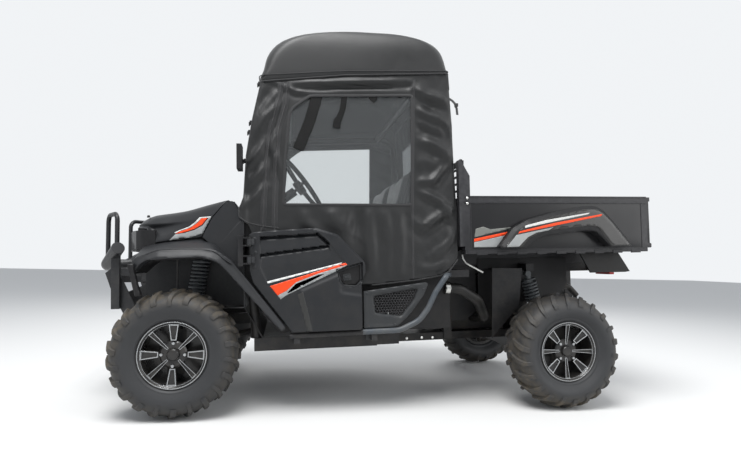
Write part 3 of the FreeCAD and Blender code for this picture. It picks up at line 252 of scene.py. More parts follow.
def new_material(name):
    """Tree and shader of a new material."""
    material = bpy.data.materials.new(name)
    material.use_nodes = True
    MATERIALS[name] = material
    return material.node_tree, material.node_tree.nodes["Principled BSDF"]


def raised_normal(tree, height, strength, distance):
    return add_node(tree, "Bump", Strength=strength, Distance=distance, Height=height).outputs["Normal"]


def show_mixed(tree, share, below, above, output):
    """Mix two shaders into the tree's output, above where the share is 1."""
    mixer = add_node(tree, "MixShader")
    for socket, value in zip(mixer.inputs, (share, below.outputs[0], above.outputs[0])):
        feed(tree, socket, value)
    feed(tree, tree.nodes[output].inputs["Surface"], mixer.outputs[0])


def coated(name, colour, roughness, grain=900.0, bump=0.15, dust=0.0, dust_top=0.9, wear=0.0, metallic=0.0,
           spread=0.12, coat=0.0):
    """Paint, plastic or rubber: colour with a slow unevenness, grain, dust and rubbed edges."""
    tree, shader = new_material(name)
    texture = put_group(tree, "Grain", Scale=grain, Unevenness=0.3)
    base = uneven_colour(tree, texture["Mask"], colour, 1.0 - spread, 1.0 + spread)
    rough = uneven_roughness(tree, texture["Mask"], roughness, 0.16)
    if wear:
        rubbed = put_group(tree, "Edge wear", Amount=wear)
        base = colour_mix(tree, rubbed["Mask"], base, RUBBED)
    if dust:
        soiled = put_group(tree, "Dust", Amount=dust, Top=dust_top, Scale=14.0)
        base = colour_mix(tree, soiled["Mask"], base, DUST)
        rough = math_node(tree, "ADD", rough, math_node(tree, "MULTIPLY", soiled["Mask"], 0.3), clamp=True)
    feed_all(tree, shader, {
        "Base Color": base, "Roughness": rough, "Metallic": metallic, "Specular IOR Level": 0.3,
        "Coat Weight": coat, "Coat Roughness": 0.15,
        "Normal": raised_normal(tree, texture["Height"], bump, 0.002)})


def cloth_material(name, colour, roughness, scale, bump, sheen):
    tree, shader = new_material(name)
    texture = put_group(tree, "Weave", Scale=scale, Slack=0.25)
    feed_all(tree, shader, {
        "Base Color": uneven_colour(tree, texture["Mask"], colour, 0.8, 1.25),
        "Roughness": uneven_roughness(tree, texture["Mask"], roughness, 0.2), "Specular IOR Level": 0.4,
        "Sheen Weight": sheen, "Sheen Roughness": 0.5,
        "Normal": raised_normal(tree, texture["Height"], bump, 0.001)})


def clear_vinyl(name, tint, roughness, haze):
    """Soft clear sheet: see-through, with a wavy sheen that grows at a low angle."""
    tree, shader = new_material(name)
    texture = put_group(tree, "Grain", Scale=5.0, Unevenness=1.0)
    feed_all(tree, shader, {"Base Color": tint, "Roughness": roughness,
                            "Normal": raised_normal(tree, texture["Height"], 0.12, 0.004)})
    clear = add_node(tree, "BsdfTransparent", Color=(0.95, 0.96, 0.96))
    glance = add_node(tree, "Fresnel", IOR=1.45).outputs["Fac"]
    share = math_node(tree, "ADD", math_node(tree, "MULTIPLY", glance, 0.8), haze, clamp=True)
    show_mixed(tree, share, clear, shader, "Material Output")


def tyre_material(name, rubber, mud):
    """Rubber with dry mud, thickest on the tread, by the tyre's own mud attribute."""
    tree, shader = new_material(name)
    texture = put_group(tree, "Grain", Scale=500.0, Unevenness=0.5)
    blotch = noise_node(tree, object_place(tree), Scale=26.0, Detail=9.0, Roughness=0.7)
    share = add_node(tree, "Attribute")
    share.attribute_name = "mud"
    spots = math_node(tree, "MULTIPLY", math_node(tree, "SUBTRACT", blotch, 0.36), 3.2, clamp=True)
    mask = math_node(tree, "MULTIPLY", spots, share.outputs["Fac"], clamp=True)
    base = uneven_colour(tree, texture["Mask"], rubber, 0.8, 1.2)
    feed_all(tree, shader, {
        "Base Color": colour_mix(tree, mask, base, mud),
        "Roughness": math_node(tree, "ADD", math_node(tree, "MULTIPLY", mask, 0.28), 0.58),
        "Normal": raised_normal(tree, blotch, 0.25, 0.003)})


def build_materials():
    finish = finish_of()
    for build in (build_grain, build_dust, build_wear, build_weave):
        build()
    body, flare, steel = (tuple(c) for c in (finish.body_colour, finish.flare_colour, finish.steel_colour))
    # name, colour, roughness, then what differs from a plain coat
    coated("body_plastic", body, 0.42, wear=0.25, dust=0.03, dust_top=1.2)
    coated("flare_plastic", flare, 0.40, grain=650.0, bump=0.2, wear=0.25, dust=0.04, dust_top=1.2)
    coated("black_plastic", (0.007, 0.007, 0.008), 0.5, grain=600.0, bump=0.2, dust=0.05)
    coated("grille_plastic", (0.010, 0.010, 0.012), 0.22, coat=0.4)
    coated("bed_steel", steel, 0.34, grain=300.0, bump=0.04, wear=0.4, dust=0.03, dust_top=1.2)
    coated("bed_gloss", (0.006, 0.006, 0.007), 0.32, grain=60.0, bump=0.03, coat=0.15)
    coated("arch_gloss", (0.019, 0.018, 0.017), 0.26, grain=500.0, bump=0.03, coat=0.4)
    # Lighter strip along the door's lower crease: a painted highlight for a facet that faces the light.
    coated("crease_film", (0.034, 0.034, 0.033), 0.4, grain=300.0, bump=0.03)
    coated("chrome", (0.55, 0.55, 0.53), 0.2, grain=900.0, metallic=1.0)
    coated("panel_plastic", (0.026, 0.028, 0.030), 0.42, wear=0.25, dust=0.04)
    coated("frame_steel", (0.007, 0.007, 0.008), 0.42, grain=300.0, bump=0.06, wear=0.3, dust=0.08)
    coated("guard_steel", (0.020, 0.021, 0.023), 0.36, grain=700.0, bump=0.12, wear=0.5, dust=0.1)
    coated("sill_guard_paint", (0.055, 0.066, 0.078), 0.35, grain=700.0, bump=0.1, wear=0.4, dust=0.25)
    coated("arm_steel", (0.014, 0.014, 0.015), 0.5, grain=300.0, wear=0.4, dust=0.3)
    coated("spring_steel", (0.095, 0.104, 0.110), 0.34, grain=500.0, bump=0.04, wear=0.3, dust=0.08)
    coated("exhaust_steel", (0.016, 0.015, 0.014), 0.4, grain=200.0, metallic=0.3, spread=0.4, dust=0.10)
    coated("engine_casting", (0.020, 0.020, 0.021), 0.55, grain=260.0, bump=0.3, metallic=0.3, dust=0.2)
    coated("hose_rubber", (0.008, 0.008, 0.008), 0.42, grain=400.0, dust=0.08)
    coated("wheel_rubber", (0.012, 0.012, 0.012), 0.6, grain=700.0, bump=0.3)
    coated("rim_black", (0.010, 0.010, 0.011), 0.28, grain=300.0, bump=0.04, dust=0.10, coat=0.3)
    coated("rim_machined", (0.40, 0.41, 0.42), 0.26, grain=1200.0, bump=0.05, metallic=0.95, dust=0.10)
    coated("bolt_steel", (0.60, 0.60, 0.58), 0.3, grain=900.0, metallic=0.9)
    coated("lamp_lens", (0.010, 0.010, 0.011), 0.3, grain=60.0, bump=0.02, coat=0.3)
    coated("tail_lens", (0.42, 0.012, 0.010), 0.15, grain=200.0, bump=0.1, coat=0.8)
    coated("orange_film", tuple(finish.orange_colour), 0.35, grain=300.0, bump=0.02, spread=0.04)
    coated("white_film", (0.60, 0.60, 0.58), 0.35, grain=300.0, bump=0.02, spread=0.03)
    coated("silver_film", tuple(finish.silver_colour), 0.35, grain=300.0, bump=0.03, spread=0.25)
    # Pale patch laid on the bed's sides: a painted reflection.
    coated("pale_film", (0.17, 0.175, 0.16), 0.4, grain=300.0, bump=0.03, spread=0.25)
    coated("carbon_film", (0.05, 0.05, 0.05), 0.3, grain=700.0, bump=0.06, spread=0.5)
    cloth_material("cab_fabric", tuple(finish.cloth_colour), 0.44, 420.0, 0.12, 0.08)
    cloth_material("dark_web", (0.002, 0.002, 0.002), 0.9, 700.0, 0.2, 0.0)
    cloth_material("strap_web", (0.012, 0.012, 0.013), 0.7, 700.0, 0.3, 0.3)
    cloth_material("seat_vinyl", (0.009, 0.009, 0.010), 0.45, 900.0, 0.08, 0.05)
    clear_vinyl("clear_vinyl", (0.52, 0.54, 0.55), 0.12, 0.055)
    tyre_material("tyre_rubber", tuple(finish.rubber_colour), tuple(finish.mud_colour))


def add_piece(name, bm, body, material, slot=None, place=LEVEL, bevel=0.0, segments=2, smooth=35.0, levels=0,
              recalculate=True):
    """Turn a bmesh in millimetres into a named piece on a body, with its finish."""
    bmesh.ops.remove_doubles(bm, verts=bm.verts, dist=0.01)
    if recalculate:
        bmesh.ops.recalc_face_normals(bm, faces=bm.faces)
    bmesh.ops.transform(bm, matrix=place, verts=bm.verts)
    mesh = bpy.data.meshes.new(name)
    bm.to_mesh(mesh)
    bm.free()
    piece = bpy.data.objects.new(name, mesh)
    bpy.context.scene.collection.objects.link(piece)
    names = [material] if isinstance(material, str) else material
    for entry in names:
        mesh.materials.append(MATERIALS[entry])
    mesh.shade_smooth()
    if smooth < 180:
        mesh.set_sharp_from_angle(angle=math.radians(smooth))
    if bevel:
        modifier = piece.modifiers.new("rounded edges", "BEVEL")
        modifier.width = bevel * MM
        modifier.segments = segments
        modifier.limit_method = "ANGLE"
        modifier.angle_limit = math.radians(30)
        modifier.harden_normals = True
    if levels:
        modifier = piece.modifiers.new("smooth surface", "SUBSURF")
        modifier.levels = modifier.render_levels = levels
    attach(piece, body)
    return piece


def verts_in(geometry):
    return [g for g in geometry if isinstance(g, bmesh.types.BMVert)]


def edges_in(geometry):
    return [g for g in geometry if isinstance(g, bmesh.types.BMEdge)]


def everything(bm):
    return bm.verts[:] + bm.edges[:] + bm.faces[:]


def polygon(bm, points, place):
    """Face through points, each mapped to space by place."""
    return bm.faces.new([bm.verts.new(place(*p)) for p in points])


def extruded(bm, face, offset):
    """Push a face along offset and close the sides."""
    made = bmesh.ops.extrude_face_region(bm, geom=[face])["geom"]
    bmesh.ops.translate(bm, vec=offset, verts=verts_in(made))


def slab_y(bm, points, y0, y1):
    """(x, z) outline as a solid between two planes of y."""
    face = polygon(bm, points, lambda x, z: (x, y0, z))
    extruded(bm, face, (0, y1 - y0, 0))


def box(bm, x, y, z):
    made = bmesh.ops.create_cube(bm, size=1.0)["verts"]
    bmesh.ops.scale(bm, vec=(x[1] - x[0], y[1] - y[0], z[1] - z[0]), verts=made)
    bmesh.ops.translate(bm, vec=((x[0] + x[1]) / 2, (y[0] + y[1]) / 2, (z[0] + z[1]) / 2), verts=made)


def tube(bm, points, radius, bends, sides=20):
    """Round closed tube through points, each bend spun round its own centre."""
    corners = [Vector(p) for p in points]
    way = (corners[1] - corners[0]).normalized()
    turn = way.to_track_quat("Z", "Y").to_matrix().to_4x4()
    ring = bmesh.ops.create_circle(bm, segments=sides, radius=radius, cap_ends=True,
                                   matrix=Matrix.Translation(corners[0]) @ turn)["verts"]
    edges = [e for e in bm.edges if e.verts[0] in ring and e.verts[1] in ring]
    here = corners[0]
    for i in range(1, len(corners)):
        last = i == len(corners) - 1
        stop = corners[i]
        if not last and bends[i]:
            onward = (corners[i + 1] - corners[i]).normalized()
            angle = way.angle(onward)
            stop = corners[i] - way * bends[i] * math.tan(angle / 2)
        made = bmesh.ops.extrude_edge_only(bm, edges=edges)["geom"]
        edges = edges_in(made)
        bmesh.ops.translate(bm, vec=stop - here, verts=verts_in(made))
        here = stop
        if not last and bends[i]:
            hinge = way.cross(onward).normalized()
            centre = stop + hinge.cross(way) * bends[i]
            steps = max(2, round(math.degrees(angle) / 9))
            spun = bmesh.ops.spin(bm, geom=edges, cent=centre, axis=hinge, angle=angle,
                                  steps=steps)["geom_last"]
            edges = edges_in(spun)
            here = corners[i] + onward * bends[i] * math.tan(angle / 2)
            way = onward
    bmesh.ops.contextual_create(bm, geom=edges)


def turned(bm, profile, centre, steps=64, closed=True):
    """(radius, y) outline spun a full turn about a lateral axis through centre (x, y, z)."""
    verts = [bm.verts.new((centre[0] + r, centre[1] + y, centre[2])) for r, y in profile]
    pairs = list(zip(verts, verts[1:])) + ([(verts[-1], verts[0])] if closed else [])
    edges = [bm.edges.new(p) for p in pairs]
    bmesh.ops.spin(bm, geom=verts + edges, cent=centre, axis=(0, 1, 0), angle=2 * math.pi, steps=steps,
                   use_merge=True)


def both_sides(bm):
    """Mirror everything across the middle plane, keeping both halves."""
    made = bmesh.ops.duplicate(bm, geom=everything(bm))["geom"]
    bmesh.ops.scale(bm, vec=(1, -1, 1), verts=verts_in(made))
    bmesh.ops.reverse_faces(bm, faces=[g for g in made if isinstance(g, bmesh.types.BMFace)])


def put_in(bm, part):
    """Move everything of one bmesh into another."""
    loose = bpy.data.meshes.new("loose part")
    part.to_mesh(loose)
    part.free()
    bm.from_mesh(loose)
    bpy.data.meshes.remove(loose)


def solid_bmesh(node):
    """Merged copy of a node's solid, in metres."""
    bm = bmesh.new()
    bm.from_mesh(frame["nodes"][node].data)
    bmesh.ops.remove_doubles(bm, verts=bm.verts, dist=MERGE)
    return bm


def dressed(node, material, bevel):
    """A merged copy of a solid with its edges rounded, in place of the plain one."""
    bm = solid_bmesh(node)
    bmesh.ops.dissolve_limit(bm, angle_limit=math.radians(0.6), verts=bm.verts, edges=bm.edges)
    bmesh.ops.scale(bm, vec=(1 / MM,) * 3, verts=bm.verts)
    slot = next(row["material_slot"] for row in frame["record"]["subparts"] if row["node"] == node)
    piece = add_piece(node + "_dressed", bm, frame["nodes"][node]["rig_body"], material, slot, place=GROUND,
                      bevel=bevel, recalculate=False)
    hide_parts(node)


def rounded(points, step=15):
    """Closed (x, z) outline with the corners of (x, z, radius) points turned to arcs."""
    made = []
    for i, point in enumerate(points):
        corner = Vector(point[:2])
        radius = point[2] if len(point) > 2 else 0
        if not radius:
            made.append(tuple(corner))
            continue
        back = (Vector(points[i - 1][:2]) - corner).normalized()
        ahead = (Vector(points[(i + 1) % len(points)][:2]) - corner).normalized()
        half = back.angle(ahead) / 2
        centre = corner + (back + ahead).normalized() * (radius / math.sin(half))
        first = corner + back * (radius / math.tan(half)) - centre
        last = corner + ahead * (radius / math.tan(half)) - centre
        count = max(2, math.ceil(math.degrees(first.angle(last)) / step))
        for k in range(count + 1):
            arm = first.lerp(last, k / count).normalized() * radius
            made.append(tuple(centre + arm))
    return made


def along(points, step):
    """The same run of points with others between them, no further apart than step."""
    made = [Vector(points[0])]
    for a, b in zip(points, points[1:]):
        a, b = Vector(a), Vector(b)
        count = max(1, math.ceil((b - a).length / step))
        made += [a.lerp(b, k / count) for k in range(1, count + 1)]
    return made


def inside_distance(points, loop):
    """Distance of each of many points from a closed outline, positive inside it."""
    loop = numpy.array(loop, dtype=float)
    nearest = numpy.full(len(points), numpy.inf)
    inside = numpy.zeros(len(points), dtype=bool)
    for a, b in zip(loop, numpy.roll(loop, -1, axis=0)):
        run = b - a
        share = numpy.clip((points - a) @ run / (run @ run), 0, 1)
        away = points - (a + share[:, None] * run)
        nearest = numpy.minimum(nearest, numpy.hypot(away[:, 0], away[:, 1]))
        rise = run[1] if run[1] else 1e-9
        crossing = a[0] + (points[:, 1] - a[1]) / rise * run[0]
        inside ^= ((a[1] > points[:, 1]) != (b[1] > points[:, 1])) & (points[:, 0] < crossing)
    return numpy.where(inside, nearest, -nearest)


def line_distance(points, line):
    """Signed distance of each of many points from an open line, and the share of the way along it."""
    line = numpy.array(line, dtype=float)
    nearest = numpy.full(len(points), numpy.inf)
    sign = numpy.ones(len(points))
    where = numpy.zeros(len(points))
    for i, (a, b) in enumerate(zip(line, line[1:])):
        run, offset = b - a, points - a
        share = numpy.clip(offset @ run / (run @ run), 0, 1)
        away = offset - share[:, None] * run
        gap = numpy.hypot(away[:, 0], away[:, 1])
        closer = gap < nearest
        where = numpy.where(closer, (i + share) / (len(line) - 1), where)
        sign = numpy.where(closer, numpy.sign(run[0] * offset[:, 1] - run[1] * offset[:, 0]), sign)
        nearest = numpy.minimum(nearest, gap)
    return nearest * sign, where


def trimmed_grid(outline, holes=(), cell=12.0):
    """Even grid in (x, z), cut along an outline and its holes, with only the sheet kept."""
    xs, zs = [p[0] for p in outline], [p[1] for p in outline]
    x0, z0 = min(xs) - cell * 0.37, min(zs) - cell * 0.41
    columns, rows = math.ceil((max(xs) - x0) / cell) + 1, math.ceil((max(zs) - z0) / cell) + 1
    bm = bmesh.new()
    bmesh.ops.create_grid(bm, x_segments=columns, y_segments=rows, size=0.5,
                          matrix=Matrix.Translation((x0 + columns * cell / 2, z0 + rows * cell / 2, 0))
                          @ Matrix.Diagonal((columns * cell, rows * cell, 1, 1)))
    for loop in [outline, *holes]:
        for a, b in zip(loop, loop[1:] + loop[:1]):
            a, b = Vector((*a, 0)), Vector((*b, 0))
            run = b - a
            if run.length < 0.01:
                continue
            unit, room = run.normalized(), cell * 1.6
            near = []
            for face in bm.faces:
                gap = face.calc_center_median() - a
                share = gap.dot(unit)
                if -room < share < run.length + room and abs(gap.cross(unit).z) < room:
                    near.append(face)
            edges = {e for f in near for e in f.edges}
            verts = {v for f in near for v in f.verts}
            bmesh.ops.bisect_plane(bm, geom=[*near, *edges, *verts], dist=0.01, plane_co=a,
                                   plane_no=(unit.y, -unit.x, 0))
    centres = numpy.array([f.calc_center_median()[:2] for f in bm.faces])
    keep = inside_distance(centres, outline) > 0
    for loop in holes:
        keep &= inside_distance(centres, loop) < 0
    bmesh.ops.delete(bm, geom=[f for f, kept in zip(bm.faces, keep) if not kept], context="FACES")
    return bm


def flat_points(bm):
    return numpy.array([v.co[:2] for v in bm.verts])


def raised(bm, heights):
    """Stand a flat (x, z) sheet up, with the y of each point, its faces towards +Y."""
    for v, y in zip(bm.verts, heights):
        v.co = (v.co.x, y, v.co.y)
    bm.normal_update()
    bmesh.ops.reverse_faces(bm, faces=[f for f in bm.faces if f.normal.y < 0])


def other_side(bm):
    """Turn a left piece into the right one."""
    bmesh.ops.scale(bm, vec=(1, -1, 1), verts=bm.verts)
    bmesh.ops.reverse_faces(bm, faces=bm.faces)
    return bm


def thickened(piece, wall):
    modifier = piece.modifiers.new("wall", "SOLIDIFY")
    modifier.thickness = wall * MM
    modifier.offset = -1.0


def free_edges(edges):
    return [e for e in edges if len(e.link_faces) == 1]


def walled(bm, y):
    """Walls from every free edge of a raised sheet back to the plane y; gives their far edges."""
    made = bmesh.ops.extrude_edge_only(bm, edges=free_edges(bm.edges))["geom"]
    for v in verts_in(made):
        v.co.y = y
    return free_edges(edges_in(made))


def backed(bm, y):
    """Close a raised panel with walls from its edge and a back in the plane y."""
    bmesh.ops.triangle_fill(bm, edges=walled(bm, y), use_dissolve=True, use_beauty=True)
    bmesh.ops.recalc_face_normals(bm, faces=bm.faces)


def eased(share):
    share = numpy.clip(share, 0, 1)
    return share * share * (3 - 2 * share)


def moulded(outline, y, edge, fields=(), steps=(), slopes=(), holes=(), cell=8.0, back=None):
    """Panel seen from the left, with a rounded border.

    fields are (outline, rise, width of its flank), steps are louvres (line, depth, fade below it),
    and slopes are bevels along an open line (line, depth, width)."""
    bm = trimmed_grid(outline, holes, cell)
    points = flat_points(bm)
    border = inside_distance(points, outline)
    for loop in holes:
        border = numpy.minimum(border, -inside_distance(points, loop))
    near = numpy.clip(edge - border, 0, edge)
    heights = y - (edge - numpy.sqrt(numpy.maximum(edge * edge - near * near, 0)))
    for loop, rise, flank in fields:
        heights = heights + rise * eased(inside_distance(points, loop) / flank + 0.5)
    for line, depth, fade in steps:
        below, where = line_distance(points, line)
        inside = (where > 0) & (where < 1) & (below > 0)
        heights = heights - numpy.where(inside, depth * numpy.clip(1 - below / fade, 0, 1), 0)
    for line, depth, width in slopes:
        gap = numpy.abs(line_distance(points, line)[0])
        heights = heights - depth * (1 - eased(gap / width))
    raised(bm, heights)
    if back is not None:
        backed(bm, back)
    return bm


def swept(bm, path, section, out, closed=False):
    """Carry an (across, out) section along a path in space; out is its outward direction."""
    path = [Vector(p) for p in path]
    rings = []
    for i, point in enumerate(path):
        before = path[i - 1] if i or closed else point
        after = path[(i + 1) % len(path)] if i < len(path) - 1 or closed else point
        way = (after - before).normalized()
        sideways = way.cross(Vector(out)).normalized()
        up = sideways.cross(way).normalized()
        verts = [bm.verts.new(point + sideways * a + up * o) for a, o in section]
        rings.append([bm.edges.new((verts[k], verts[(k + 1) % len(verts)])) for k in range(len(verts))])
    for low, high in zip(rings, rings[1:] + (rings[:1] if closed else [])):
        bmesh.ops.bridge_loops(bm, edges=low + high)
    if not closed:
        for ring in (rings[0], rings[-1]):
            bmesh.ops.contextual_create(bm, geom=ring)


def band(width, height):
    """Section of a flat strip with softened edges, standing height above the path."""
    w, h = width / 2, height
    return [(-w, -0.5), (w, -0.5), (w, h * 0.5), (w - h * 0.5, h), (h * 0.5 - w, h), (-w, h * 0.5)]


def cord_section(radius, sides=8):
    return [(radius * math.cos(2 * math.pi * k / sides), radius * math.sin(2 * math.pi * k / sides))
            for k in range(sides)]


def surface_of(piece):
    """Search tree of a piece or a node in level millimetres, to lay films and trim on."""
    bm = bmesh.new()
    bm.from_mesh((frame["nodes"][piece] if isinstance(piece, str) else piece).data)
    bmesh.ops.transform(bm, matrix=LEVEL.inverted(), verts=bm.verts)
    tree = BVHTree.FromBMesh(bm)
    bm.free()
    return tree


def outer_y(tree, x, z, fallback):
    hit = tree.ray_cast(Vector((x, 900, z)), Vector((0, -1, 0)))[0]
    return hit.y if hit else fallback


def film_bmesh(tree, outline, lift, cell, fallback):
    """Thin sheet that follows a surface, seen from the left."""
    bm = trimmed_grid(outline, (), cell)
    raised(bm, [outer_y(tree, v.co.x, v.co.y, fallback) + lift for v in bm.verts])
    return bm


def dome_bolt(bm, centre, radius, height, sides=10):
    """Low domed bolt head that faces +Y."""
    turned(bm, [(0.2, height), (radius * 0.55, height * 0.9), (radius * 0.9, height * 0.45), (radius, 0)],
           centre, steps=sides, closed=False)


LUG_THICKNESS, LUG_SKEW = 21.0, math.radians(26)


def lug(bm, stations, half_width, thickness, skew):
    """One tread lug: rings of four corners bridged from the crown to the side wall."""
    rings = []
    for y, top, base, slim in stations:
        shift = (min(y, half_width - 20) - half_width * 0.5) * math.tan(skew)
        half = thickness / 2 * slim
        corners = [(shift - half - 3, y, base), (shift + half + 3, y, base), (shift + half, y, top),
                   (shift - half, y, top)]
        verts = [bm.verts.new(c) for c in corners]
        rings.append([bm.edges.new((verts[k], verts[(k + 1) % 4])) for k in range(4)])
    for low, high in zip(rings, rings[1:]):
        bmesh.ops.bridge_loops(bm, edges=low + high)
    for ring in (rings[0], rings[-1]):
        bmesh.ops.contextual_create(bm, geom=ring)


def tyre_bmesh(width, lugs):
    """Tyre about the origin, its outer side towards +Y."""
    half = width / 2
    bm = bmesh.new()
    side = [(153, 78), (164, 81), (172, 90), (178, 95), (183, 95.5), (188, 98), (206, half - 12),
            (226, half - 5), (246, half - 5), (262, half - 12), (276, half - 24), (288, half - 42),
            (297, half - 64), (303, half - 96)]
    profile = [(r, -y) for r, y in side] + [(r, y) for r, y in reversed(side)]
    turned(bm, profile, (0, 0, 0), steps=88)
    # y from the crown, outer radius, radius it sinks to, share of the full thickness
    long_lug = ((3, 317.2, 298, 0.9), (half - 78, 314.5, 296, 1.0), (half - 56, 308.5, 290, 1.0),
                (half - 34, 297.5, 280, 1.0), (half - 15, 281, 266, 0.95), (half - 4, 261, 246, 0.85),
                (half - 2.5, 242, 236, 0.7))
    short_lug = ((34, 316.5, 298, 0.8), (half - 66, 311.5, 294, 1.1), (half - 42, 302, 284, 1.25),
                 (half - 22, 288, 272, 1.3), (half - 7, 270, 256, 1.2), (half - 4, 258, 250, 1.0))
    pitch, count = 2 * math.pi / lugs, lugs // 2
    for side_sign in (1, -1):
        for kind, stations in enumerate((long_lug, short_lug)):
            row = bmesh.new()
            lug(row, stations, half, LUG_THICKNESS, LUG_SKEW)
            bmesh.ops.rotate(row, cent=(0, 0, 0), verts=row.verts,
                             matrix=Matrix.Rotation(pitch * (kind + (0.5 if side_sign < 0 else 0)), 3, "Y"))
            if side_sign < 0:
                bmesh.ops.scale(row, vec=(1, -1, 1), verts=row.verts)
            bmesh.ops.spin(row, geom=everything(row), cent=(0, 0, 0), axis=(0, 1, 0), steps=count - 1,
                           angle=2 * math.pi * (count - 1) / count, use_duplicate=True)
            bmesh.ops.recalc_face_normals(row, faces=row.faces)
            put_in(bm, row)
    bmesh.ops.recalc_face_normals(bm, faces=bm.faces)
    return bm


def store_mud(piece, centre, seed):
    """Share of mud at each point: thick on the tread, thin on the side wall."""
    layer = piece.data.attributes.new("mud", "FLOAT", "POINT")
    values = []
    for v in piece.data.vertices:
        away = v.co - centre
        radius = math.hypot(away.x, away.z) / MM
        share = min(1.0, max(0.0, (radius - 232) / 60))
        angle = math.atan2(away.z, away.x)
        patch = 0.55 + 0.45 * math.sin(angle + seed)
        values.append(share * (0.25 + 0.75 * patch))
    layer.data.foreach_set("value", values)


CORNERS = [(end, side) for end in ("front", "rear") for side in ("left", "right")]


def corner_place(end, side):
    """Matrix from a wheel drawn about the origin, outer side to +Y, to its corner."""
    x = FRONT_AXLE if end == "front" else REAR_AXLE
    sign = 1 if side == "left" else -1
    return (GROUND @ Matrix.Translation((x, sign * TRACK_HALF, TYRE_RADIUS))
            @ Matrix.Diagonal((1, sign, 1, 1)))


def rim_bmesh(turned_by):
    """Alloy wheel about the origin: barrel, rings, eight bordered spokes, hub, cap and nuts."""
    bm = bmesh.new()
    barrel = [(146, -88), (165, -88), (166, -85), (165, -82), (153.4, -79), (152.6, -60), (152.6, 70),
              (153.4, 79), (165, 82), (166, 85), (165.5, 88.5), (163, 89), (155, 87), (150, 82), (146, 76)]
    turned(bm, barrel, (0, 0, 0), steps=96)
    start = len(bm.faces)
    for inner, outer, y in ((157.5, 161.5, 89.2), (147.4, 149.4, 82.2)):
        turned(bm, [(inner, y - 3.5), (inner, y), (outer, y), (outer, y - 3.5)], (0, 0, 0), steps=96)
    bm.faces.ensure_lookup_table()
    bright = bm.faces[start:]

    def bordered(points, y, depth, border, sink, lean):
        """Raised plate with a machined border round a sunk field."""
        turn = Matrix.Rotation(angle, 2)
        points = [tuple(turn @ Vector(p)) for p in points]
        face = polygon(bm, points, lambda u, w: (u, y + lean * (150 - math.hypot(u, w)), w))
        face.normal_update()
        if face.normal.y < 0:
            face.normal_flip()
        rim_faces = bmesh.ops.inset_region(bm, faces=[face], thickness=border, use_even_offset=True,
                                           use_boundary=True)["faces"]
        outer_edges = free_edges({e for f in rim_faces for e in f.edges})
        skirt = bmesh.ops.extrude_edge_only(bm, edges=outer_edges)["geom"]
        bmesh.ops.translate(bm, vec=(0, -depth, 0), verts=verts_in(skirt))
        bmesh.ops.inset_region(bm, faces=[face], thickness=0.8, use_even_offset=True, use_boundary=True)
        bmesh.ops.translate(bm, vec=(0, -sink, 0), verts=face.verts)
        bright.extend(rim_faces)

    for k in range(8):
        wide = k % 2 == 0
        foot, outer, inner, border = (68, 23.0, 13.0, 5.5) if wide else (36, 12.5, 5.5, 3.4)
        angle = k * math.pi / 4 + turned_by
        bordered([(foot, -inner), (147, -outer), (147, outer), (foot, inner)], 78, 18, border, 6.0, -0.16)
        bordered([(146, -outer), (158, -outer - 9), (158, outer + 9), (146, outer)], 82, 10, 3.2, 3.0, 0.0)
    hub = [(0.5, 40), (64, 40), (66, 54), (58, 60), (36, 60), (30, 59), (28, 72), (24, 76), (0.5, 77)]
    turned(bm, hub, (0, 0, 0), steps=40, closed=False)
    turned(bm, [(0.5, -34), (151, -34), (151, -30), (0.5, -30)], (0, 0, 0), steps=48, closed=False)
    for k in range(4):
        angle = math.radians(90 * k) + turned_by
        x, z = 55 * math.cos(angle), 55 * math.sin(angle)
        start = len(bm.faces)
        bmesh.ops.create_cone(bm, cap_ends=True, segments=6, radius1=9, radius2=8, depth=18,
                              matrix=Matrix.Translation((x, 62, z)) @ Matrix.Rotation(-math.pi / 2, 4, "X"))
        bm.faces.ensure_lookup_table()
        bright += bm.faces[start:]
    for f in bright:
        if f.is_valid:
            f.material_index = 1
    return bm


class VEHICLE_OT_wheels(bpy.types.Operator):
    """Tyres with lugs that wrap the shoulder, on eight-spoke alloy wheels"""
    bl_idname = "vehicle.wheels"
    bl_label = "Wheels"

    def execute(self, context):
        finish = finish_of()
        for index, (end, side) in enumerate(CORNERS):
            place = corner_place(end, side)
            body = "wheel_%s_%s" % (end, side)
            bm = tyre_bmesh(TYRE_WIDTHS[end], finish.lugs)
            piece = add_piece("tyre_%s_%s_tread" % (end, side), bm, body, "tyre_rubber", "tyre_rubber", place,
                              bevel=2.0, segments=2, smooth=40)
            store_mud(piece, place.translation, 0.6 + index * 1.3)
            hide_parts("tyre_%s_%s" % (end, side))
            bm = rim_bmesh(0 if end == "front" else math.pi / 4)
            rim = add_piece("rim_%s_%s_spokes" % (end, side), bm, body, ["rim_black", "rim_machined"],
                            "rim_alloy", place, bevel=0.6, segments=1, smooth=40)
            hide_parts("rim_%s_%s" % (end, side))
        return {"FINISHED"}


